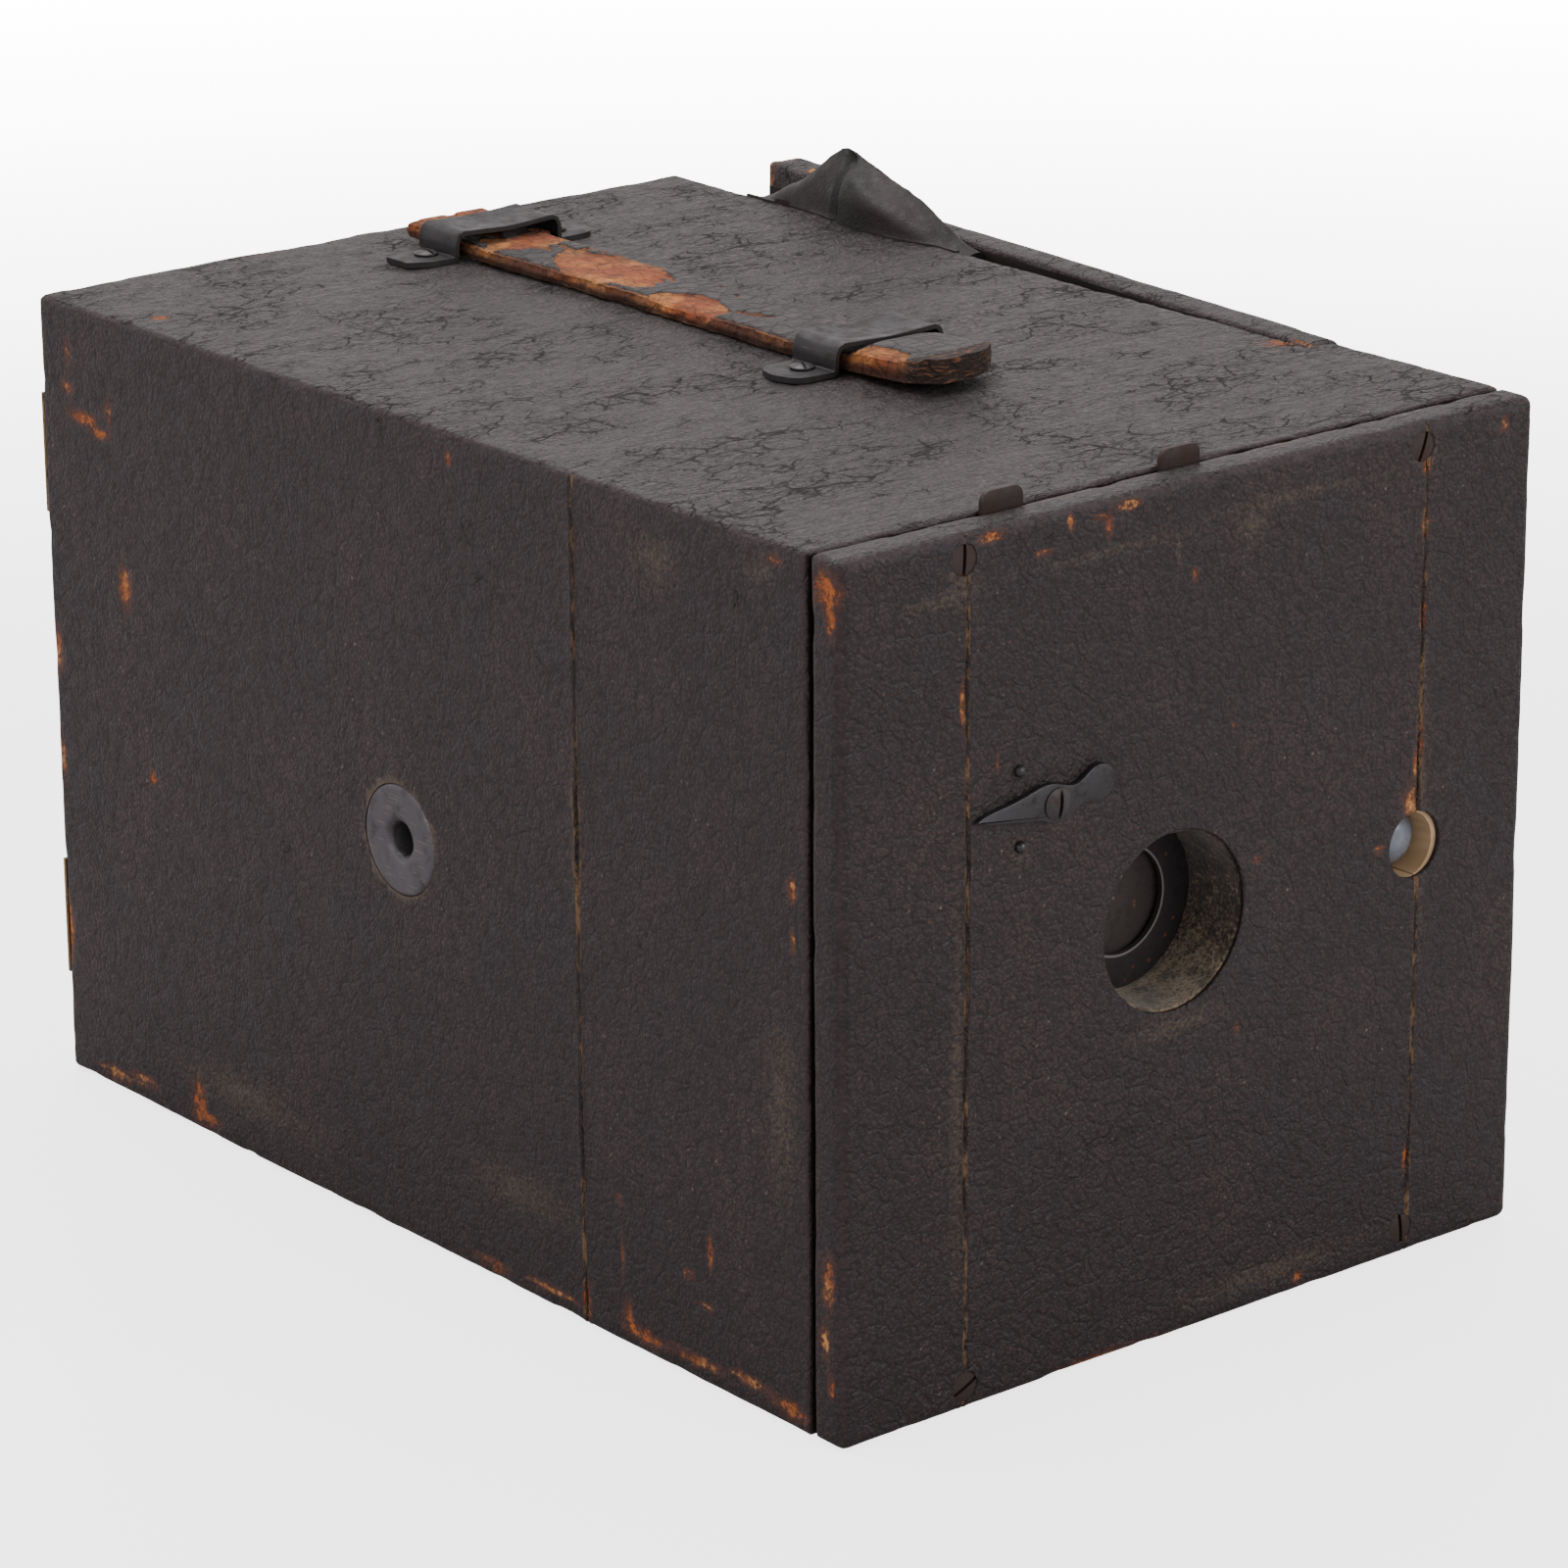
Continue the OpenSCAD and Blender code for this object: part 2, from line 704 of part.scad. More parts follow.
// Packing block and two runners round the sheaths
module magazine_guides() {
    side_x = lens_x - sheath_w / 2 - 0.4;
    low_z = lens_z - sheath_h / 2 - 0.4;
    high_z = lens_z + sheath_h / 2 + 0.4;
    color("#6a4a36") {
        block([-in_x, gate_y + gate_t, wall], [side_x, guide_end_y, body_h - wall]);
        block([side_x, gate_y + gate_t, wall], [bag_in_x, guide_end_y, low_z]);
        block([side_x, gate_y + gate_t, high_z], [bag_in_x, guide_end_y, body_h - wall]);
    }
}

module plate_sheaths() {
    color("#2f2d2e") for (i = [0:sheaths - 1])
        translate([lens_x, stack_y + i * sheath_pitch, lens_z]) difference() {
        block([-sheath_w / 2, 0, -sheath_h / 2], [sheath_w / 2, sheath_pitch - 0.4, sheath_h / 2]);
        block([-plate_w / 2 - 0.2, -1, -plate_h / 2 - 0.2], [plate_w / 2 + 0.2, 2, plate_h / 2 + 0.2]);
    }
}

module glass_plates() {
    color("lightgray") for (i = [0:sheaths - 1]) translate([lens_x, stack_y + i * sheath_pitch, lens_z])
        block([-plate_w / 2, 0.3, -plate_h / 2], [plate_w / 2, 1.9, plate_h / 2]);
}

module pressure_plate() {
    color("#4c3a2e") translate([lens_x, pressure_y, lens_z])
        block([-sheath_w / 2 + 1, 0, -sheath_h / 2 + 1], [sheath_w / 2 - 1, pressure_t, sheath_h / 2 - 1]);
}

// Bowed steel strips fixed to the door, their crowns against the pressure plate
module pressure_springs() {
    chord = 70;
    rise = door_in_y - pressure_y - pressure_t - 0.5;
    r = (chord * chord / 4 + rise * rise) / (2 * rise);
    color("#8f9296") for (z = [lens_z - 35, lens_z + 35]) translate([lens_x, door_in_y - rise, z - 6])
        linear_extrude(12) intersection() {
            difference() {
                translate([0, r]) circle(r = r, $fn = 128);
                translate([0, r]) circle(r = r - 0.8, $fn = 128);
            }
            translate([-chord / 2, 0]) square([chord, rise]);
        }
}

// ---------------------------------------------------------------- rear door

module rear_door() {
    color("peru") difference() {
        block([-in_x + 0.3, door_in_y, wall + 0.3],
            [bag_in_x - 0.3, rear_y - door_sink - leather_t, body_h - wall - 0.3]);
        at_door_moving() leaf_screw_holes(door_leaf_off);
    }
}

module door_leather() {
    color("#2b2527") difference() {
        block([-in_x + 0.3, rear_y - door_sink - leather_t, wall + 0.3],
            [bag_in_x - 0.3, rear_y - door_sink, body_h - wall - 0.3]);
        at_door_moving() leaf_screw_holes(door_leaf_off);
    }
}

module door_hinge_leaves() {
    color("#8c7440") at_door_moving() {
        hinge_half(false, door_leaf_off);
        leaf_screws(door_leaf_off + leaf_t);
    }
}

// Brass button that turns across the door, with its screw
module turn_button() {
    button_x = bag_in_x + 4.4;
    button_z = lens_z;
    color("#9a8450") difference() {
        union() {
            sheet_y(rear_y + 0.3, 1.4) translate([button_x, button_z]) union() {
                circle(r = 4);
                translate([-4, -13]) square([8, 13]);
                translate([0, -13]) circle(r = 4);
            }
            rod_y([button_x, button_z], rear_y + 1.5, 0.9, 2.6);
        }
        block([button_x - 3, rear_y + 1.9, button_z - 0.3], [button_x + 3, rear_y + 3, button_z + 0.3]);
    }
}

// ---------------------------------------------------------------- bag lid

lid_low = [bag_wall_x + 0.3, lid_front_y + 0.5, 1];
lid_high = [bag_wall_x + 0.3 + lid_t, lid_rear_y, body_h];

module lid_board() {
    color("peru") lid_rest() difference() {
        block([lid_low[0], lid_low[1] + leather_t, lid_low[2] + leather_t],
            [lid_high[0] - leather_t, lid_high[1] - leather_t, lid_high[2] - leather_t]);
        at_lid_moving() leaf_screw_holes(lid_leaf_off);
    }
}

module lid_leather() {
    color("#2b2527") lid_rest() difference() {
        block(lid_low, lid_high);
        block([lid_low[0] - 1, lid_low[1] + leather_t, lid_low[2] + leather_t],
            [lid_high[0] - leather_t, lid_high[1] - leather_t, lid_high[2] - leather_t]);
        at_lid_moving() leaf_screw_holes(lid_leaf_off);
    }
}

module lid_hinge_leaves() {
    color("#8c7440") lid_rest() at_lid_moving() {
        hinge_half(false, lid_leaf_off);
        leaf_screws(lid_leaf_off + leaf_t);
    }
}

// The fixed halves of both pairs of hinges
module body_hinge_leaves() {
    color("#8c7440") {
        at_lid_fixed() hinge_half(true, lid_fixed_off);
        at_door_fixed() hinge_half(true, door_fixed_off);
    }
}

module hinge_pins() {
    color("#b59a58") {
        for (z = lid_hinge_z) translate([lid_pin[0], lid_pin[1], z]) cylinder(r = pin_r, h = hinge_l);
        for (z = door_hinge_z) translate([door_pin[0], door_pin[1], z]) cylinder(r = pin_r, h = hinge_l);
    }
}

module hinge_screws() {
    color("#b59a58") {
        at_lid_fixed() leaf_screws(lid_fixed_off + leaf_t);
        at_door_fixed() leaf_screws(door_fixed_off + leaf_t);
    }
}

// Soft leather sleeve: folded flat in its opening, with a fold that stands out over the top
module changing_bag() {
    peak = [bag_wall_x + 5, front_y + 192, body_h + 13];
    color("#1f1c1d") {
        block([bag_in_x + 1.5, bag_mouth_y[0] + 0.5, bag_mouth_z[0] + 0.5],
            [bag_wall_x + 0.4, bag_mouth_y[1] - 0.5, bag_mouth_z[1] - 0.5]);
        block([bag_wall_x + 0.2, bag_mouth_y[0] + 3, body_h - 60],
            [bag_wall_x + 4, bag_mouth_y[1] - 10, body_h + 0.5]);
        hull() {
            block([bag_wall_x - 1, bag_mouth_y[0] - 7, body_h + 0.3],
                [bag_wall_x + 8, bag_mouth_y[1] - 8, body_h + 1]);
            translate(peak) sphere(r = 1, $fn = 16);
        }
    }
}

// ---------------------------------------------------------------- bush, strap and loops

module tripod_bush() {
    color("#7d766b") difference() {
        union() {
            rod_x(bush_at_y, bush_z, -half_w, bush_flange_t, bush_d / 2);
            rod_x(bush_at_y, bush_z, -half_w + 1, wall - 1, bush_body_r);
        }
        rod_x(bush_at_y, bush_z, -half_w - 1, 20, bush_bore_d / 2);
        translate([-half_w - eps, bush_at_y, bush_z]) rotate([0, 90, 0])
            cylinder(r1 = bush_bore_d / 2 + 1.2, r2 = bush_bore_d / 2, h = 1.2);
    }
}

module strap() {
    color("#8a4a20") translate([strap_x, 0, body_h + 0.3]) linear_extrude(strap_t) polygon([
        [-strap_w / 2, front_y + strap_front + 2], [strap_w / 2, front_y + strap_front - 3],
        [strap_w / 2, front_y + strap_rear], [-strap_w / 2, front_y + strap_rear]]);
}

module strap_loops() {
    color("#3a3a3c") for (y = loop_y) translate([strap_x, y, body_h]) difference() {
        union() {
            for (s = [-1, 1]) {
                block([min(s * loop_half, s * (loop_half + loop_t)), -loop_l / 2, 0],
                    [max(s * loop_half, s * (loop_half + loop_t)), loop_l / 2, loop_h + loop_t]);
                block([min(s * loop_half, s * (loop_half + loop_foot - 4)), -loop_l / 2, 0],
                    [max(s * loop_half, s * (loop_half + loop_foot - 4)), loop_l / 2, loop_t]);
                translate([s * loop_screw_x, 0, 0]) cylinder(r = 4.6, h = loop_t);
            }
            block([-loop_half, -loop_l / 2, loop_h], [loop_half, loop_l / 2, loop_h + loop_t]);
        }
        for (s = [-1, 1]) translate([s * loop_screw_x, 0, -1]) cylinder(r = loop_screw_r, h = 4);
    }
}

module loop_screws() {
    color("#4a4444") loop_screw_places() difference() {
        union() {
            translate([0, 0, -7]) cylinder(r = loop_screw_r, h = 7 + loop_t);
            translate([0, 0, loop_t]) cylinder(r1 = 2.5, r2 = 1.9, h = 0.9);
        }
        translate([-4, -0.4, loop_t + 0.3]) cube([8, 0.8, 2]);
    }
}

// ---------------------------------------------------------------- nodes

base_board();
top_board();
left_board_front();
left_board_rear();
finder_side_block();
bag_side_board();
body_leather();
panel_centre();
panel_cleat_left();
panel_cleat_right();
panel_leather();
panel_screws();
panel_washers();
lens_collar();
shutter_board();
shutter_cover();
cover_posts();
shutter_blade();
blade_stud();
blade_spring();
setting_lever();
release_lever();
lever_studs();
stop_selector();
selector_spindle();
stop_plate();
stop_pins();
lens_flange();
flange_screws();
lens_barrel();
front_lens();
rear_lens();
lens_rings();
finder_box();
finder_lens();
finder_mirror();
finder_glass();
magazine_gate();
magazine_guides();
plate_sheaths();
glass_plates();
pressure_plate();
pressure_springs();
rear_door();
door_leather();
door_hinge_leaves();
turn_button();
lid_board();
lid_leather();
lid_hinge_leaves();
body_hinge_leaves();
hinge_pins();
hinge_screws();
changing_bag();
tripod_bush();
strap();
strap_loops();
loop_screws();
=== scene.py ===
import json
import math
import bmesh
import bpy
import numpy as np
from mathutils import Matrix, Vector, noise


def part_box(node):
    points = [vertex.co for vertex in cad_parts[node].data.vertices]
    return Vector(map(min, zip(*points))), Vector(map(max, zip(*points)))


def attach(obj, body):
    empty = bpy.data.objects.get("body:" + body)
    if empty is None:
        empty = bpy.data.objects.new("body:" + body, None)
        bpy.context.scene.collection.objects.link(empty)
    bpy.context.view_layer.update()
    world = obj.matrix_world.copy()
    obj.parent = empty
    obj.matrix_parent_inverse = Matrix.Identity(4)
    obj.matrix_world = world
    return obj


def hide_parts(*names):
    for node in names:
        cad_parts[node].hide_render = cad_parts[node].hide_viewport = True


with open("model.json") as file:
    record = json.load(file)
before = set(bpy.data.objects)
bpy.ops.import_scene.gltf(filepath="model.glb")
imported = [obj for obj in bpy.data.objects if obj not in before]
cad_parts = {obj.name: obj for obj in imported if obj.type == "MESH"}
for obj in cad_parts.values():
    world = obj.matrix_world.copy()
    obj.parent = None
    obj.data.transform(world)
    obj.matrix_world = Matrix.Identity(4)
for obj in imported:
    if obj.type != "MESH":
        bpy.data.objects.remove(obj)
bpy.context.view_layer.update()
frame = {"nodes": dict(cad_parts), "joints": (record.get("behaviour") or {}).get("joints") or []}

MM = 0.001

# ---------------------------------------------------------------- leather covering of the body
# Thin goatskin with a fine pebbled grain, dyed black, glued over the boards and turned in at the
# openings. It has rubbed through at the edges, flaked off in places and split over the joint
# between the two boards of the left wall.


def ruled(low, high, step, *fine):
    """Grid lines from low to high about a step apart, with extra ones at the places in fine."""
    count = max(2, round((high - low) / step) + 1)
    lines = [x for x in np.linspace(low, high, count)
             if all(abs(x - f) > step / 3 for f in fine) or x in (low, high)]
    return sorted(lines + [f for f in fine if low < f < high])


def near(place, *offsets):
    """Places on both sides of one place."""
    return [place] + [place + s * d * MM for d in offsets for s in (-1, 1)]


def grid_box(lines):
    """Closed box of quads with grid lines at the given places along X, Y and Z."""
    bm = bmesh.new()
    bmesh.ops.create_cube(bm, size=1.0)
    for axis, places in enumerate(lines):
        along = [e for e in bm.edges if abs(e.verts[0].co[axis] - e.verts[1].co[axis]) > 1e-5]
        if len(places) > 2:
            bmesh.ops.subdivide_edges(bm, edges=along, cuts=len(places) - 2, use_grid_fill=True)
    for v in bm.verts:
        v.co = [places[round((v.co[k] + 0.5) * (len(places) - 1))] for k, places in enumerate(lines)]
    return bm


def places_of(bm):
    """Vertex places as one array."""
    return np.array([v.co for v in bm.verts])


def move_to(bm, points):
    """Puts each vertex at its new place."""
    for v, p in zip(bm.verts, points):
        v.co = p


def rounded(points, low, high, radius):
    """Points of a box with its edges rounded, and the way out at each."""
    core = np.clip(points, np.array(low) + radius, np.array(high) - radius)
    out = points - core
    reach = np.maximum(np.linalg.norm(out, axis=1), radius)[:, None]
    return core + out * radius / reach, out / reach


def uneven(points, size, seed=0):
    """Smooth random value from about -1 to 1 at each point, with features about size wide."""
    return np.array([noise.noise(p) for p in points / size + 17.3 * seed])


def step(values, low, high):
    """0 below low, 1 above high, and a soft rise between."""
    t = np.clip((values - low) / (high - low), 0, 1)
    return t * t * (3 - 2 * t)


def edge_gap(points, low, high):
    """Distance of a box's surface points from its nearest edge."""
    gaps = np.minimum(points - np.array(low), np.array(high) - points)
    return np.sort(np.abs(gaps), axis=1)[:, 1]


def spots(points, where):
    """1 in the middle of the nearest spot, 0 at its rim and less outside. Millimetres."""
    best = np.full(len(points), -3.0)
    for middle, radii in where:
        away = np.linalg.norm((points / MM - np.array(middle)) / np.array(radii), axis=1)
        best = np.maximum(best, 1 - away)
    return best


def piece(name, bm, body, finish, slot, *nodes, crease=40):
    """Finished object from a bmesh: normals, shading, material, and where it belongs."""
    mesh = bpy.data.meshes.new(name)
    bm.to_mesh(mesh)
    bm.free()
    obj = bpy.data.objects.new(name, mesh)
    bpy.context.scene.collection.objects.link(obj)
    mesh.materials.append(finish)
    mesh.shade_smooth()
    mesh.set_sharp_from_angle(angle=math.radians(crease))
    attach(obj, body)
    if nodes:
        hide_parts(*nodes)
    return obj


def block(bm, low, high):
    """Adds a box between two corners."""
    middle = (Vector(low) + Vector(high)) / 2
    size = Vector(high) - Vector(low)
    place = Matrix.Translation(middle) @ Matrix.Diagonal((*size, 1))
    bmesh.ops.create_cube(bm, size=1.0, matrix=place)


def rod(bm, middle, axis, radius, length, sides=96):
    """Adds a round bar along an axis, centred on its middle."""
    turn = Vector((0, 0, 1)).rotation_difference(Vector(axis)).to_matrix().to_4x4()
    bmesh.ops.create_cone(bm, cap_ends=True, segments=sides, radius1=radius, radius2=radius,
                          depth=length, matrix=Matrix.Translation(middle) @ turn)


def cut(bm, cutter):
    """Takes the cutter's solids out of bm."""
    things = []
    for part in (bm, cutter):
        mesh = bpy.data.meshes.new("cut")
        part.to_mesh(mesh)
        things.append(bpy.data.objects.new("cut", mesh))
        bpy.context.scene.collection.objects.link(things[-1])
    blade = things[0].modifiers.new("cut", "BOOLEAN")
    blade.operation = "DIFFERENCE"
    blade.solver = "MANIFOLD"
    blade.object = things[1]
    depsgraph = bpy.context.evaluated_depsgraph_get()
    made = bpy.data.meshes.new_from_object(things[0].evaluated_get(depsgraph))
    bm.clear()
    bm.from_mesh(made)
    cutter.free()
    for thing in things:
        bpy.data.meshes.remove(thing.data)
    bpy.data.meshes.remove(made)
    return bm


def paint(obj, **fields):
    """Stores values at the vertices for the material to read."""
    for name, values in fields.items():
        layer = obj.data.attributes.new(name, "FLOAT", "POINT")
        layer.data.foreach_set("value", np.asarray(values, np.float32))


def vertices(obj):
    """Vertex places of a finished object as one array."""
    flat = np.empty(len(obj.data.vertices) * 3)
    obj.data.vertices.foreach_get("co", flat)
    return flat.reshape(-1, 3)


def shade(tree, kind, sockets=(), **settings):
    """Adds a shader node. Sockets gives each input a value, or an output to link to it."""
    made = tree.nodes.new("ShaderNode" + kind)
    for name, value in settings.items():
        setattr(made, name, value)
    for key, value in dict(sockets).items():
        if isinstance(value, bpy.types.NodeSocket):
            tree.links.new(value, made.inputs[key])
        else:
            made.inputs[key].default_value = value
    return made


def sums(tree, operation, a, b=0.0):
    """One step of arithmetic."""
    return shade(tree, "Math", {0: a, 1: b}, operation=operation).outputs[0]


def times(tree, a, b):
    """One value multiplied by another."""
    return sums(tree, "MULTIPLY", a, b)


def plus(tree, a, b):
    """Two values added."""
    return sums(tree, "ADD", a, b)


def minus(tree, a, b):
    """One value less another."""
    return sums(tree, "SUBTRACT", a, b)


def ramp(tree, value, low, high, to_low=0.0, to_high=1.0):
    """Soft rise from to_low, where value is low, to to_high, where it is high."""
    return shade(tree, "MapRange", {"Value": value, 1: low, 2: high, 3: to_low, 4: to_high},
                 interpolation_type="SMOOTHSTEP").outputs[0]


def blend(tree, share, a, b):
    """Colour a with its share of colour b laid over it."""
    def whole(c):
        return (*c, 1.0) if isinstance(c, tuple) and len(c) == 3 else c
    return shade(tree, "Mix", {0: share, 6: whole(a), 7: whole(b)}, data_type="RGBA").outputs[2]


def grain(tree, where, scale, detail=2.0, rough=0.5, distort=0.0):
    """Noise value from 0 to 1."""
    return shade(tree, "TexNoise", {"Vector": where, "Scale": scale, "Detail": detail,
                                    "Roughness": rough, "Distortion": distort}).outputs[0]


def stretched(tree, where, scale):
    """Coordinates scaled by a different amount along each axis."""
    return shade(tree, "Mapping", {"Vector": where, "Scale": scale}).outputs[0]


def new_group(name, inputs, outputs):
    """Empty shader node group. A None input is a vector; outputs map names to socket kinds."""
    tree = bpy.data.node_groups.new(name, "ShaderNodeTree")
    for title, value in inputs.items():
        kind = "NodeSocketVector" if value is None else "NodeSocketFloat"
        socket = tree.interface.new_socket(title, in_out="INPUT", socket_type=kind)
        if value is not None:
            socket.default_value = value
    for title in outputs:
        tree.interface.new_socket(title, in_out="OUTPUT", socket_type="NodeSocketFloat")
    return tree, tree.nodes.new("NodeGroupInput").outputs, tree.nodes.new("NodeGroupOutput").inputs


def use(tree, group, **values):
    """Places a node group in a material and returns its outputs."""
    named = {key.replace("_", " "): value for key, value in values.items()}
    made = shade(tree, "Group", node_tree=group)
    for key, value in named.items():
        if isinstance(value, bpy.types.NodeSocket):
            tree.links.new(value, made.inputs[key])
        else:
            made.inputs[key].default_value = value
    return made.outputs


def new_material(name):
    """Empty material with its tree, shader and object coordinates."""
    material = bpy.data.materials.new(name)
    material.use_nodes = True
    tree = material.node_tree
    shader = tree.nodes["Principled BSDF"]
    return material, tree, shader, shade(tree, "TexCoord").outputs["Object"]


def wire(tree, shader, sockets):
    """Links or sets the shader's own sockets."""
    for key, value in sockets.items():
        if isinstance(value, bpy.types.NodeSocket):
            tree.links.new(value, shader.inputs[key])
        else:
            shader.inputs[key].default_value = value


def raised(tree, height, depth, strength=1.0):
    """Normal from a height that runs from 0 to 1 over a depth in metres."""
    return shade(tree, "Bump", {"Height": height, "Distance": depth, "Strength": strength}).outputs[0]


def stored(tree, name):
    """Value painted on the piece's vertices."""
    return shade(tree, "Attribute", attribute_name=name).outputs["Fac"]


# Pebbled skin: rounded grains of about a millimetre with fine pores between them.
pebbles, given, result = new_group(
    "pebbled_skin", {"Place": None, "Grain": 1250.0}, ["Height", "Pores"])
bent = shade(pebbles, "VectorMath", {0: given["Place"], 1: shade(
    pebbles, "VectorMath", {0: shade(pebbles, "TexNoise", {
        "Vector": given["Place"], "Scale": 420.0, "Detail": 2.0}).outputs["Color"],
        1: (0.0011, 0.0011, 0.0011)}, operation="MULTIPLY").outputs[0]}, operation="ADD").outputs[0]
cell = shade(pebbles, "TexVoronoi", {"Vector": bent, "Scale": given["Grain"], "Smoothness": 0.35},
             feature="SMOOTH_F1").outputs["Distance"]
fine = grain(pebbles, bent, 2600.0, 3.0, 0.6)
pebbles.links.new(plus(pebbles, times(pebbles, ramp(pebbles, cell, 0.65, 0.1), 0.75),
                       times(pebbles, fine, 0.35)), result["Height"])
pebbles.links.new(ramp(pebbles, cell, 0.36, 0.62), result["Pores"])

# Alligator cracks: an open net of splits that comes and goes over the surface.
cracks, given, result = new_group(
    "crack_net", {"Place": None, "Net": 300.0, "Spread": 0.5, "Width": 0.07}, ["Crack"])
bent = shade(cracks, "VectorMath", {0: given["Place"], 1: shade(
    cracks, "VectorMath", {0: shade(cracks, "TexNoise", {
        "Vector": given["Place"], "Scale": 240.0, "Detail": 4.0, "Roughness": 0.6}).outputs["Color"],
        1: (0.0045, 0.0045, 0.0045)}, operation="MULTIPLY").outputs[0]}, operation="ADD").outputs[0]
gap = shade(cracks, "TexVoronoi", {"Vector": bent, "Scale": given["Net"]},
            feature="DISTANCE_TO_EDGE").outputs["Distance"]
there = grain(cracks, given["Place"], 85.0, 3.0, 0.55)
width = times(cracks, given["Width"], ramp(
    cracks, plus(cracks, there, given["Spread"]), 0.85, 1.15))
cracks.links.new(shade(cracks, "MapRange", {"Value": gap, 1: width, 2: 0.0, 3: 0.0, 4: 1.0},
                       interpolation_type="SMOOTHSTEP").outputs[0], result["Crack"])

# Ragged mask: a painted field cut off at a level, with its rim broken up by noise.
ragged, given, result = new_group(
    "ragged_mask", {"Place": None, "Field": 0.0, "Level": 0.0, "Rim": 0.15, "Break": 0.8,
                    "Size": 500.0}, ["Mask"])
torn = times(ragged, minus(ragged, grain(
    ragged, given["Place"], given["Size"], 4.0, 0.6), 0.5), given["Break"])
over = minus(ragged, plus(ragged, given["Field"], torn), given["Level"])
ragged.links.new(shade(ragged, "MapRange", {
    "Value": over, 1: 0.0, 2: given["Rim"], 3: 0.0, 4: 1.0},
    interpolation_type="SMOOTHSTEP").outputs[0], result["Mask"])


def specks(tree, place, size, share, seed):
    """Scattered specks of a size, present in a share of the cells."""
    moved = shade(tree, "VectorMath", {0: place, 1: (seed, 0.3 * seed, 0.7 * seed)}).outputs[0]
    found = shade(tree, "TexVoronoi", {"Vector": moved, "Scale": size}).outputs
    chosen = shade(tree, "SeparateColor", {0: found["Color"]}).outputs[0]
    return times(tree, ramp(tree, found["Distance"], 0.26, 0.1),
                ramp(tree, chosen, 1 - share, 1.01 - share))


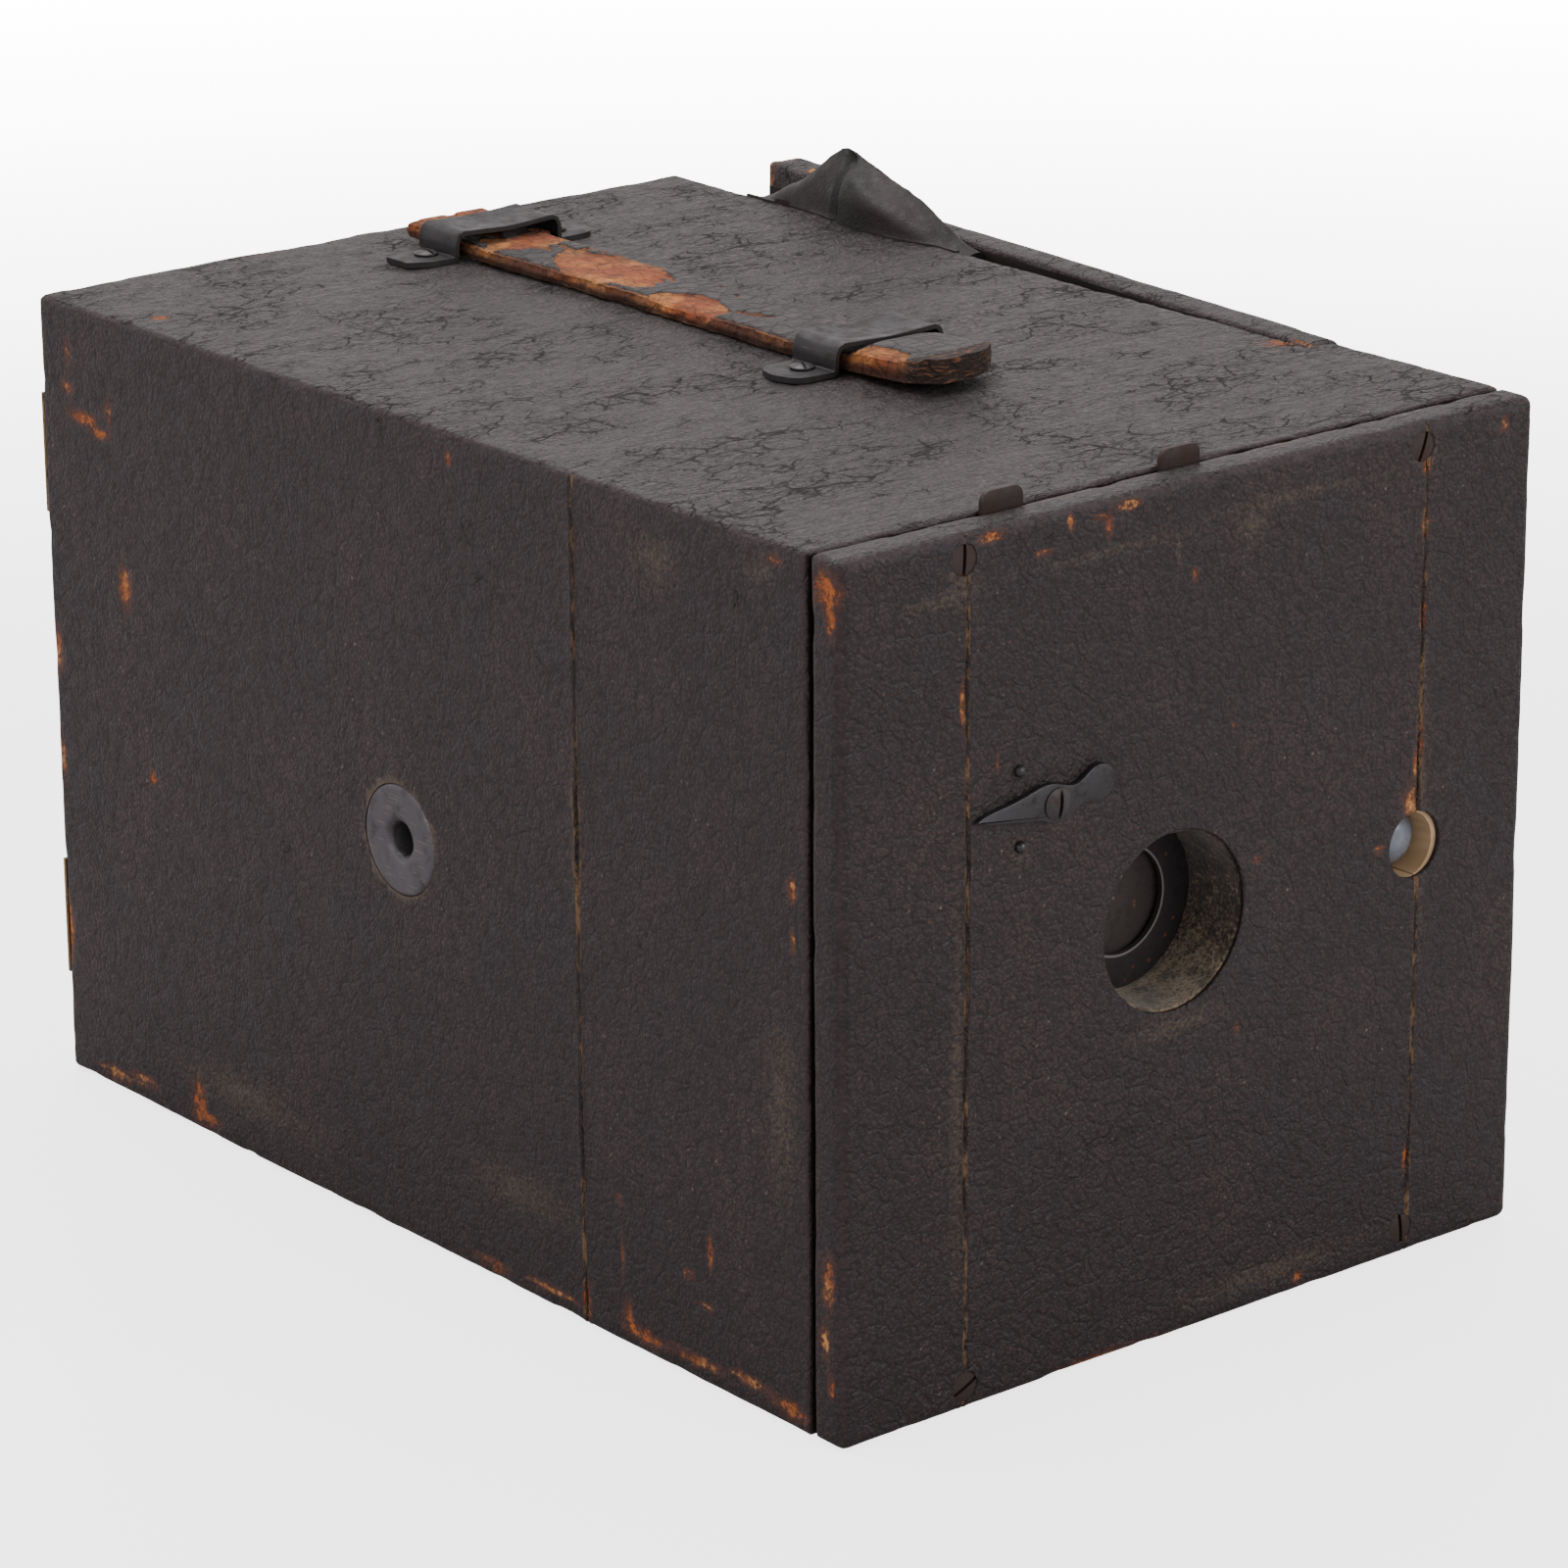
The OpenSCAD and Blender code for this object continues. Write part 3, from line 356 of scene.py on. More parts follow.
def leather_finish(name, dark, brown, dusty, shine):
    """Old black goatskin. The piece is painted with worn, edge, seam, dusty and haze."""
    material, tree, shader, place = new_material(name)
    skin = use(tree, pebbles, Place=place)
    top = stored(tree, "dusty")
    dry = plus(tree, times(tree, top, 0.25), 0.2)
    streaky = stretched(tree, place, (0.55, 1.0, 1.0))
    coarse = use(tree, cracks, Place=streaky, Net=190.0, Spread=dry, Width=0.075)[0]
    hair = use(tree, cracks, Place=streaky, Net=520.0, Spread=plus(tree, dry, -0.02), Width=0.12)[0]
    crack = sums(tree, "MAXIMUM", coarse, times(tree, hair, 0.5))
    crackle = use(tree, cracks, Place=place, Net=250.0, Spread=0.62, Width=0.16)[0]
    wrinkles = times(tree, top, grain(tree, stretched(
        tree, place, (0.28, 1.0, 1.0)), 620.0, 4.0, 0.7, 0.6))

    # dye, with brown and grey clouds in it, and lint on top
    clouds = grain(tree, place, 38.0, 4.0, 0.6)
    small = grain(tree, place, 330.0, 4.0, 0.65)
    colour = blend(tree, ramp(tree, clouds, 0.42, 0.7), dark, brown)
    colour = blend(tree, ramp(tree, small, 0.5, 0.85, 0.0, 0.8), colour, brown)
    cool = grain(tree, place, 62.0, 4.0, 0.6)
    colour = blend(tree, ramp(tree, cool, 0.55, 0.75, 0.0, 0.6), colour, (0.019, 0.021, 0.025))
    grey = times(tree, top, ramp(tree, small, 0.3, 0.75, 0.35, 1.0))
    colour = blend(tree, grey, colour, dusty)
    red = use(tree, ragged, Place=place, Field=grain(tree, place, 26.0, 2.0), Level=0.97, Rim=0.1,
              Break=1.3, Size=900.0)[0]
    colour = blend(tree, times(tree, red, 0.7), colour, (0.12, 0.026, 0.013))
    fluff = ramp(tree, clouds, 0.45, 0.6, 0.35, 1.0)
    lint = times(tree, specks(tree, place, 720.0, 0.13, 0.1), fluff)
    colour = blend(tree, times(tree, lint, 0.62), colour, (0.24, 0.2, 0.16))
    rust = specks(tree, place, 900.0, 0.07, 0.4)
    colour = blend(tree, times(tree, rust, 0.55), colour, (0.2, 0.06, 0.025))
    colour = blend(tree, times(tree, skin["Pores"], 0.75), colour, (0.007, 0.0055, 0.0055))
    colour = blend(tree, times(tree, crackle, 0.45), colour, (0.008, 0.006, 0.006))

    # rubbed edges: purple-brown, then the orange of the bare hide
    edge = stored(tree, "edge")
    rubbed = use(tree, ragged, Place=place, Field=edge, Level=0.5, Rim=0.5, Break=0.9, Size=260.0)[0]
    colour = blend(tree, times(tree, rubbed, 0.6), colour, (0.042, 0.023, 0.027))
    haze = use(tree, ragged, Place=place, Field=stored(tree, "haze"), Level=0.35, Rim=1.1, Break=2.6,
               Size=1300.0)[0]
    colour = blend(tree, times(tree, haze, 0.5), colour, (0.13, 0.095, 0.058))
    bare = use(tree, ragged, Place=place, Field=edge, Level=1.3, Rim=0.12, Break=1.35, Size=120.0)[0]
    worn = stored(tree, "worn")
    patch = use(tree, ragged, Place=place, Field=worn, Level=0.1, Rim=0.34, Break=1.9, Size=520.0)[0]
    halo = use(tree, ragged, Place=place, Field=worn, Level=-0.5, Rim=0.6, Break=1.7, Size=520.0)[0]
    flakes_gone = ramp(tree, grain(tree, place, 640.0, 4.0, 0.7), 0.38, 0.47)
    patch = times(tree, sums(tree, "MAXIMUM", patch, bare), flakes_gone)
    hide = blend(tree, ramp(tree, grain(tree, place, 75.0, 2.0), 0.42, 0.58), (0.4, 0.115, 0.027),
                 (0.52, 0.25, 0.09))
    hide = blend(tree, ramp(tree, small, 0.36, 0.56), (0.17, 0.05, 0.02), hide)
    hide = blend(tree, ramp(tree, grain(tree, place, 1500.0, 3.0, 0.7), 0.42, 0.7), hide,
                 (0.14, 0.045, 0.02))
    colour = blend(tree, times(tree, halo, 0.55), colour, (0.085, 0.03, 0.017))
    colour = blend(tree, patch, colour, hide)
    colour = blend(tree, times(tree, crack, 0.92), colour, (0.005, 0.003, 0.002))

    # splits over the joints of the boards: dark, with tan threads of torn skin and dust
    seam = stored(tree, "seam")
    thread = times(tree, ramp(tree, seam, 0.35, 0.8), ramp(
        tree, grain(tree, stretched(tree, place, (1.0, 1.0, 0.3)), 800.0, 4.0, 0.75), 0.45, 0.6))
    colour = blend(tree, ramp(tree, seam, 0.72, 0.97), colour, (0.006, 0.004, 0.003))
    colour = blend(tree, times(tree, thread, 0.7), colour, (0.21, 0.125, 0.06))

    rough = plus(tree, shine, ramp(tree, small, 0.3, 0.8, -0.06, 0.14))
    rough = plus(tree, rough, times(tree, sums(tree, "MAXIMUM", patch, thread), 0.3))
    rough = plus(tree, rough, times(tree, crack, 0.4))
    height = minus(tree, times(tree, skin["Height"], 0.75),
                  times(tree, crack, 1.9))
    height = minus(tree, height, times(tree, crackle, 0.7))
    height = plus(tree, height, times(tree, wrinkles, 5.0))
    height = minus(tree, height, times(tree, patch, 1.1))
    height = plus(tree, height, times(tree, thread, 1.2))
    wire(tree, shader, {"Base Color": colour, "Roughness": rough, "Specular IOR Level": 0.36,
                        "Normal": raised(tree, height, 0.16 * MM)})
    return material


covering = leather_finish("black_goatskin", (0.0212, 0.0136, 0.0152), (0.037, 0.0205, 0.0195),
                          (0.066, 0.053, 0.052), 0.5)

skin_t = 1 * MM                                  # thickness of the leather
body_low, body_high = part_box("body_leather")
left_x, right_x = body_low.x, body_high.x
body_top = body_high.z
lid_wall_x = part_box("bag_side_board")[1].x + skin_t      # wall that the lid lies against
lid_end_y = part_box("finder_side_block")[1].y + skin_t
split_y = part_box("left_board_front")[1].y + 0.1 * MM     # joint of the left wall's boards
bush_low, bush_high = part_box("tripod_bush")
bush_y, bush_z = (bush_low.y + bush_high.y) / 2, (bush_low.z + bush_high.z) / 2

bm = grid_box([
    ruled(left_x, right_x, 1.7 * MM, *near(left_x, 0.3, 0.7, 1.2), *near(right_x, 0.3, 0.7, 1.2)),
    ruled(body_low.y, body_high.y, 1.8 * MM, *near(body_low.y, 0.3, 0.7, 1.2),
          *near(body_high.y, 0.3, 0.7, 1.2), *near(split_y, 0.3, 0.65, 1.1),
          *near(lid_end_y - 0.6 * MM, 0.3, 0.55)),
    ruled(0, body_top, 1.7 * MM, *near(0, 0.3, 0.7, 1.2), *near(body_top, 0.3, 0.7, 1.2))])
flat = places_of(bm)
edges = edge_gap(flat, body_low, body_high)
points, out = rounded(flat, body_low - Vector((0, 9 * MM, 0)), body_high, 1.5 * MM)
points = rounded(points, body_low, body_high + Vector((0, 9 * MM, 0)), 0.9 * MM)[0]

# (y, z, half width, half height) in millimetres of worn places on the left wall
body_worn_wall = [
    (111, 150, 1.2, 3.5), (107, 138, 5, 1.6), (101, 136, 3.5, 1.2), (98, 141, 1.2, 3.2),
    (112, 143, 2.4, 1.4), (94, 107, 2.2, 4.6), (87, 70, 1.4, 1.6), (119, 89, 1.8, 5),
    (119, 66, 1.2, 5), (105, 3, 5.5, 1.6), (95, 4.5, 5, 1.3), (75.5, 6, 2.6, 5), (72, 3, 5, 1.5),
    (-12.5, 155, 1.1, 1.7), (-20, 2.5, 6, 1.3), (-38, 3.5, 8, 1.0), (-66, 3.5, 7, 1.6),
    (-61, 6.5, 1.3, 3), (-80, 4, 8, 1.3), (-96, 5, 6, 1.2), (-107, 3.5, 5, 1.8), (-79, 20, 1.6, 1.2),
    (-85, 26, 0.9, 4), (-84, 15, 2.4, 0.9), (-59, 28, 1.6, 0.9), (-60, 17, 0.8, 5), (-49, 5, 1.2, 4),
    (-26, 142, 0.7, 1.1), (-39, 130, 0.6, 1.2), (-108, 100, 1.3, 2.6), (-108, 90, 0.9, 3),
    (-104, 157, 2.2, 1.2)]
body_worn = [((-82, y, z), (3, w, h)) for y, z, w, h in body_worn_wall] + [
    ((-74, 90, 160), (1.8, 2.2, 3)), ((74, -63, 160), (4, 3.5, 2)), ((-30, 119, 158), (6, 3, 2)),
    ((60, 121, 40), (1.6, 3, 8)), ((-81, 120, 30), (2, 2, 7)), ((81, -90, 2), (3, 9, 2)),
    ((20, 121, 2), (14, 3, 1.6)), ((81.8, -100, 118), (3, 2.4, 3))]
worn = spots(points, body_worn)


def wandering(points, line, reach, seed):
    """Side step of a split line, biggest on the line and gone at its reach."""
    z = np.column_stack([points[:, 2] * 0, points[:, 2] * 0, points[:, 2]])
    side = 0.45 * uneven(z, 9 * MM, seed) + 0.5 * uneven(z, 31 * MM, seed + 1)
    return MM * side * step(reach - line, 0, reach)


gape_z, gape_half = 95 * MM, 17 * MM             # height where a split gapes, and half its length


def split_depth(points, line, seed):
    """Depth of the split at each point, from how far it is from the line."""
    z = np.column_stack([points[:, 2] * 0, points[:, 2] * 0, points[:, 2]])
    open_ = 0.45 + 0.55 * step(uneven(z, 22 * MM, seed), -0.2, 0.35)
    open_ = open_ + 0.5 * step(np.abs(points[:, 2] - gape_z), gape_half, 5 * MM)
    return open_ * (step(0.55 * MM - line, 0, 0.5 * MM) * 0.75 * MM
                    - step(1.3 * MM - line, 0, 1.2 * MM) * 0.22 * MM)


on_left = flat[:, 0] < left_x + 1 * MM
line = np.where(on_left, np.abs(flat[:, 1] - split_y), 1.0)
points[:, 1] += wandering(points, line, 1.6 * MM, 3)
waves = 0.22 * uneven(points, 42 * MM, 1) + 0.1 * uneven(points, 11 * MM, 2)
waves = waves + 0.07 * uneven(points, 4.5 * MM, 3)
creases = uneven(points * np.array([0.45, 1.0, 1.0]), 5.5 * MM, 4)
on_top = step(flat[:, 2], body_top - 1.2 * MM, body_top)
waves -= on_top * 0.17 * step(np.abs(creases), 0.22, 0.0)
nicks = step(uneven(points, 7 * MM, 5), 0.1, 0.55) * step(edges, 2.2 * MM, 0)
depth = waves * MM - 0.3 * MM * nicks - 0.22 * MM * step(worn, -0.1, 0.35)
points += out * (depth - split_depth(points, line, 6))[:, None]

# the right-hand wall steps in behind the fixed part, where the lid lies
step_in = np.interp(flat[:, 1], [lid_end_y - 1.2 * MM, lid_end_y - 0.6 * MM, lid_end_y - 0.3 * MM,
                                 lid_end_y, lid_end_y + 0.01 * MM],
                    [right_x, right_x - 0.2 * MM, right_x - 0.6 * MM, right_x - 1.3 * MM, lid_wall_x])
points[:, 0] = np.where(points[:, 0] > 0, points[:, 0] * step_in / right_x, points[:, 0])
move_to(bm, points)

inside = bmesh.new()
in_left, in_right = left_x + skin_t, lid_wall_x - skin_t
block(inside, (in_left, body_low.y - MM, skin_t), (in_right, body_high.y - skin_t, body_top - skin_t))
cut(bm, inside)
inside = bmesh.new()
block(inside, (in_right - MM, body_low.y - MM, skin_t),
      (right_x - skin_t, lid_end_y - skin_t, body_top - skin_t))
cut(bm, inside)
holes = bmesh.new()
door_low, door_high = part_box("rear_door")
gap = 0.3 * MM
block(holes, (door_low.x - gap, body_high.y - 5 * MM, door_low.z - gap),
      (door_high.x + gap, body_high.y + MM, door_high.z + gap))
guide_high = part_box("magazine_guides")[1]
gate_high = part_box("magazine_gate")[1]
mouth_z = 13 * MM
block(holes, (in_right - MM, gate_high.y, mouth_z), (lid_wall_x + MM, guide_high.y, body_top - mouth_z))
finder_low, finder_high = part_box("finder_box")
window = 9 * MM, 3 * MM, 1 * MM                  # frame before, behind and above the finder window
block(holes, (in_right, finder_low.y + window[0], finder_low.z + window[2]),
      (right_x + MM, finder_high.y - window[1], finder_high.z - window[2]))
rod(holes, (left_x, bush_y, bush_z), (1, 0, 0), (bush_high.y - bush_low.y) / 2, 6 * MM)
cut(bm, holes)
body_covering = piece("body_covering", bm, "camera_body", covering, "black_leather", "body_leather")
at = vertices(body_covering)
line = np.where(at[:, 0] < left_x + 0.9 * MM, np.abs(at[:, 1] - split_y), 1.0)
away = edge_gap(at, body_low, body_high)
# (y, z, half width, half height) in millimetres of dusty places on the left wall
body_haze_wall = [
    (5, 78.8, 14.5, 14.5), (-100, 154, 9, 5), (-72, 150, 13, 9), (87, 70, 4, 5), (80.5, 77, 1.5, 7),
    (-105, 60, 8, 34), (60, 12, 40, 9), (-30, 20, 34, 9), (-48.5, 95, 3.5, 30)]
body_haze = [((-82, y, z), (3, w, h)) for y, z, w, h in body_haze_wall] + [
    ((7, -30, 160), (17, 24, 2)), ((-30, -119, 160), (60, 5, 2)), ((75, 60, 160), (4, 60, 2))]
from_bush = np.hypot(at[:, 1] - bush_y, at[:, 2] - bush_z) - (bush_high.y - bush_low.y) / 2
glue = (step(from_bush, 1.8 * MM, 0.3 * MM) * (at[:, 0] < left_x + MM)
        * (1.5 + 1.3 * uneven(at, 5 * MM, 18)))
wide_open = 1 + 1.1 * step(np.abs(at[:, 2] - gape_z), gape_half, 5 * MM)
paint(body_covering, worn=spots(at, body_worn), edge=1 - away / (3.5 * MM),
      haze=np.maximum(spots(at, body_haze), glue - 0.2), seam=step(line, 1.3 * MM * wide_open, 0),
      dusty=0.12 + 0.88 * step(at[:, 2], body_top - 1.3 * MM, body_top))

# ---------------------------------------------------------------- leather covering of the panel
# The front panel is a centre board between two upright cleats. Its leather is glued over all
# three and turned back at the sides, so it has split along both joints and torn at the finder.

panel_low, panel_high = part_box("panel_leather")
seam_left = (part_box("panel_cleat_left")[1].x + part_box("panel_centre")[0].x) / 2
seam_right = (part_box("panel_cleat_right")[0].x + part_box("panel_centre")[1].x) / 2
collar_low, collar_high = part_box("lens_collar")
barrel_low, barrel_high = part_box("lens_barrel")
lens_x, lens_z = (barrel_low.x + barrel_high.x) / 2, (barrel_low.z + barrel_high.z) / 2
lens_hole_r = 16.75 * MM
finder_x, finder_z = (finder_low.x + finder_high.x) / 2, (finder_low.z + finder_high.z) / 2
finder_hole_r = 6.3 * MM

bm = grid_box([
    ruled(panel_low.x, panel_high.x, 1.25 * MM, *near(panel_low.x, 0.35, 0.8, 1.3, 2),
          *near(panel_high.x, 0.35, 0.8, 1.3, 2), *near(seam_left, 0.28, 0.6, 1.0),
          *near(seam_right, 0.28, 0.6, 1.0)),
    ruled(panel_low.y, panel_high.y, 1.2 * MM, *near(panel_low.y, 0.35, 0.8, 1.3),
          *near(panel_high.y, 0.3, 0.6)),
    ruled(0, body_top, 1.3 * MM, *near(0, 0.35, 0.8, 1.3, 2), *near(body_top, 0.35, 0.8, 1.3, 2))])
flat = places_of(bm)
edges = edge_gap(flat, panel_low, panel_high)
points = rounded(flat, panel_low, panel_high + Vector((0, 9 * MM, 0)), 2.1 * MM)[0]
points = rounded(points, panel_low - Vector((0, 9 * MM, 0)), panel_high, 0.8 * MM)[0]
move_to(bm, points)
bm.normal_update()
out = np.array([v.normal for v in bm.verts])
# (x, z, half width, half height) in millimetres of worn places on the front
panel_worn_wall = [
    (-30.5, 157.3, 1.0, 1.6), (-21.7, 155.4, 1.0, 2.4), (-17.2, 157.9, 2.8, 1.0), (-24, 157, 1.8, 0.7),
    (-36.5, 153, 2.4, 0.7), (-48.4, 158.1, 3.0, 1.0), (-1.4, 142.6, 0.8, 1.6), (54.8, 101, 0.8, 4.5),
    (54, 96, 0.9, 3), (53, 88.8, 2.0, 3.6), (45.2, 81.5, 1.5, 1.0), (54.6, 124, 0.9, 3),
    (54.5, 141, 0.9, 3), (54, 19, 0.8, 3), (54.5, 152, 1.0, 2), (74, 156, 1.2, 1.6),
    (14.5, 86.6, 1.8, 0.7), (17.5, 88, 0.7, 0.7), (10, 56, 0.7, 1.2), (8, 113, 0.5, 0.8),
    (11.5, 108, 0.4, 0.6), (-47, 118, 0.5, 2.4), (27, 3, 1.6, 1.2), (-55, 130, 0.6, 4)]
panel_worn = [((x, -121, z), (w, 3, h)) for x, z, w, h in panel_worn_wall] + [
    ((-81.8, -117.6, 154.6), (3, 3.0, 3.4)), ((-82, -118.6, 149.8), (2, 1.3, 3.6)),
    ((-82, -117.5, 31), (2, 1.6, 5)), ((-82, -116.5, 20), (2, 1.3, 3.5)),
    ((-82, -118, 12), (2, 0.9, 3)), ((81.8, -118, 120), (2, 2, 6)), ((81.8, -118, 4), (2, 3, 4)),
    ((-20, -120, 0), (14, 2, 2))]
worn = spots(points, panel_worn)
on_front = flat[:, 1] < panel_low.y + 1 * MM
line_left = np.where(on_front, np.abs(flat[:, 0] - seam_left), 1.0)
line_right = np.where(on_front, np.abs(flat[:, 0] - seam_right), 1.0)
waves = 0.17 * uneven(points, 38 * MM, 7) + 0.07 * uneven(points, 9 * MM, 8)
waves = waves + 0.05 * uneven(points, 4 * MM, 9)
nicks = step(uneven(points, 7 * MM, 10), 0.1, 0.55) * step(edges, 2.2 * MM, 0)
lever_mark = np.linalg.norm((points / MM - np.array((-32, -121, 108.5))) / np.array((12, 4, 10)), axis=1)
pressed = 0.14 * step(np.abs(lever_mark - 1), 0.2, 0) * step(points[:, 2], 100 * MM, 112 * MM)
depth = (waves - 0.3 * nicks - 0.2 * step(worn, -0.1, 0.35) - pressed) * MM
depth -= 0.7 * (split_depth(points, line_left, 11) + split_depth(points, line_right, 12))
side_step = wandering(points, line_left, 1.4 * MM, 13) + wandering(points, line_right, 1.4 * MM, 14)
points += out * depth[:, None]
points[:, 0] += side_step
move_to(bm, points)

inside = bmesh.new()
block(inside, (panel_low.x + skin_t, panel_low.y + skin_t, skin_t),
      (panel_high.x - skin_t, panel_high.y + MM, body_top - skin_t))
cut(bm, inside)
spindle_x, spindle_z = -34.3 * MM, 108.2 * MM
stop_pins = (-42.1 * MM, 115.6 * MM), (-41.8 * MM, 101.8 * MM)
panel_screws = [(-54.5 * MM, 155.3 * MM), (-53.7 * MM, 4.5 * MM), (53.5 * MM, 155.5 * MM),
                (53.2 * MM, 5.4 * MM)]
front_y = panel_low.y
for x, z, radius, lip in [(lens_x, lens_z, lens_hole_r, 0.55), (finder_x, finder_z, finder_hole_r, 0.4),
                          (spindle_x, spindle_z, 1.95 * MM, 0.3)] + [
                              (x, z, 2.75 * MM, 0.3) for x, z in panel_screws]:
    hole = bmesh.new()
    rod(hole, (x, front_y, z), (0, 1, 0), radius, 4 * MM)
    cut(bm, hole)
    hole = bmesh.new()
    bmesh.ops.create_cone(hole, cap_ends=True, segments=96, depth=3 * lip * MM,
                          radius1=radius + 2 * lip * MM, radius2=radius - lip * MM,
                          matrix=Matrix.Translation((x, front_y, z)) @ Matrix.Rotation(-math.pi / 2, 4, "X"))
    cut(bm, hole)
for x, z in stop_pins:
    hole = bmesh.new()
    rod(hole, (x, front_y, z), (0, 1, 0), 0.72 * MM, 4 * MM)
    cut(bm, hole)
panel_covering = piece("panel_covering", bm, "camera_body", covering, "black_leather", "panel_leather")
at = vertices(panel_covering)
on_front = at[:, 1] < front_y + 0.9 * MM
line = np.where(on_front, np.minimum(np.abs(at[:, 0] - seam_left), np.abs(at[:, 0] - seam_right)), 1.0)
around = np.hypot(at[:, 0] - lens_x, at[:, 2] - lens_z) - lens_hole_r
away = np.minimum(edge_gap(at, panel_low, panel_high), np.where(on_front, np.abs(around) + 1.2 * MM, 1))
# (x, z, half width, half height) in millimetres of dusty places on the front
panel_haze_wall = [
    (-55, 151, 8, 9), (-60, 149, 20, 2.5), (-20, 150.5, 40, 2), (20, 152.5, 36, 2.5),
    (-5.5, 147.5, 2.2, 6), (12, 149, 7, 8), (-42, 101, 6, 6), (-56, 60, 3, 70), (55, 90, 3.5, 70),
    (54, 154, 7, 6), (-5, 60, 23, 5), (20, 6, 50, 5)]
panel_haze = [((x, -121, z), (w, 3, h)) for x, z, w, h in panel_haze_wall] + [
    ((-30, -114, 160), (45, 3, 3)), ((30, -114, 160), (45, 3, 3))]
paint(panel_covering, worn=spots(at, panel_worn), edge=1 - away / (3.5 * MM), haze=spots(at, panel_haze),
      seam=step(line, 1.2 * MM, 0), dusty=0.12 + 0.6 * step(at[:, 2], body_top - 1.6 * MM, body_top))

# ---------------------------------------------------------------- leather of the lid and the door
# The same skin, over the bag lid's outside and edges and over the outside of the rear door.


def covered_board(low, high, radius, thick_axis, opening, seed, bare, lift=0):
    """Leather tray over a board: rounded outside, hollowed from the side that the board fills."""
    fine = [[*near(low[k], 0.35, 0.9), *near(high[k], 0.35, 0.9)] for k in range(3)]
    bm = grid_box([ruled(low[k], high[k], 1.3 * MM if k == thick_axis else 1.7 * MM, *fine[k])
                   for k in range(3)])
    points, out = rounded(places_of(bm), low, high, radius)
    curled = lift * step(points[:, 1], 82 * MM, 92 * MM) * (points[:, 2] > high[2] - 2.5 * MM)
    points[:, 2] += curled * (1 + 0.25 * uneven(points, 6 * MM, seed + 3))
    waves = 0.16 * uneven(points, 40 * MM, seed) + 0.08 * uneven(points, 9 * MM, seed + 1)
    rim = step(edge_gap(points, low, high), 2.2 * MM, 0)
    waves -= 0.3 * step(uneven(points, 7 * MM, seed + 2), 0.1, 0.55) * rim
    waves -= 0.2 * step(spots(points, bare), -0.1, 0.35)
    move_to(bm, points + out * waves[:, None] * MM)
    inside = bmesh.new()
    block(inside, *opening)
    cut(bm, inside)
    return bm


def finish_cover(name, bm, low, high, body, node, bare, turn=Matrix()):
    """Object from the tray, with its painted fields, turned to its place."""
    places = places_of(bm)
    bmesh.ops.transform(bm, matrix=turn, verts=bm.verts)
    cover = piece(name, bm, body, covering, "black_leather", node)
    paint(cover, worn=spots(places, bare), edge=1 - edge_gap(places, low, high) / (3.5 * MM),
          haze=places[:, 0] * 0 - 1, seam=places[:, 0] * 0,
          dusty=0.15 + 0.7 * step(places[:, 2], high[2] - 1.6 * MM, high[2]))
    return cover


hinge = next(j for j in frame["joints"] if j["name"] == "lid_hinge")
pin_x, pin_y = hinge["pos_m"][0], hinge["pos_m"][1]
lid_t = 7.5 * MM
lid_l = 173.5 * MM
lid_low = np.array((pin_x - 1.6 * MM - lid_t, pin_y + 0.2 * MM, 1 * MM))
lid_high = np.array((lid_low[0] + lid_t, lid_low[1] + lid_l, body_top))
ajar = math.radians(-3.5)
lid_turn = (Matrix.Translation((pin_x, pin_y, 0)) @ Matrix.Rotation(ajar, 4, "Z")
            @ Matrix.Translation((-pin_x, -pin_y, 0)))
lid_bare = [((79, 105, 161), (8, 4.5, 7)), ((83, 104, 157), (2, 2.5, 4)), ((79, 90, 164), (2, 2.5, 1)),
            ((77, -66, 160), (1, 4, 1)), ((83.6, 100, 4), (2, 6, 3)), ((83.6, 20, 2), (1.5, 12, 1.5)),
            ((83.6, -60, 158), (1.5, 6, 1.3)), ((83.6, 60, 90), (2, 1.6, 2.6))]
bm = covered_board(lid_low, lid_high, 1.4 * MM, 0, (
    (lid_low[0] - 3 * MM, lid_low[1] + skin_t, lid_low[2] + skin_t),
    (lid_high[0] - skin_t, lid_high[1] - skin_t, lid_high[2] - skin_t)), 20, lid_bare, 4 * MM)
finish_cover("lid_covering", bm, lid_low, lid_high, "bag_lid", "lid_leather", lid_bare,
                            lid_turn)

door_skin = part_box("door_leather")
door_low, door_high = np.array(door_skin[0]), np.array(door_skin[1])
door_bare = [((-71, 121, 11), (4, 2, 3)), ((66, 121, 148), (3, 2, 5)), ((10, 121, 9.5), (10, 2, 1.5)),
             ((-30, 121, 60), (1, 2, 1.6)), ((40, 121, 95), (2.5, 2, 1)), ((66, 121, 60), (1, 2, 6))]
bm = covered_board(door_low, door_high, 0.45 * MM, 1, (
    (0, door_low[1] - 3 * MM, 0.05), (0.001, door_low[1] - 2 * MM, 0.051)), 30, door_bare)
finish_cover("door_covering", bm, door_low, door_high, "rear_door", "door_leather",
                             door_bare)

# ---------------------------------------------------------------- wooden parts
# Boards of a brown hardwood, planed and glued; the parts inside the dark chamber are stained
# black. Bare wood shows inside, at the turned-in edges and in the holes.

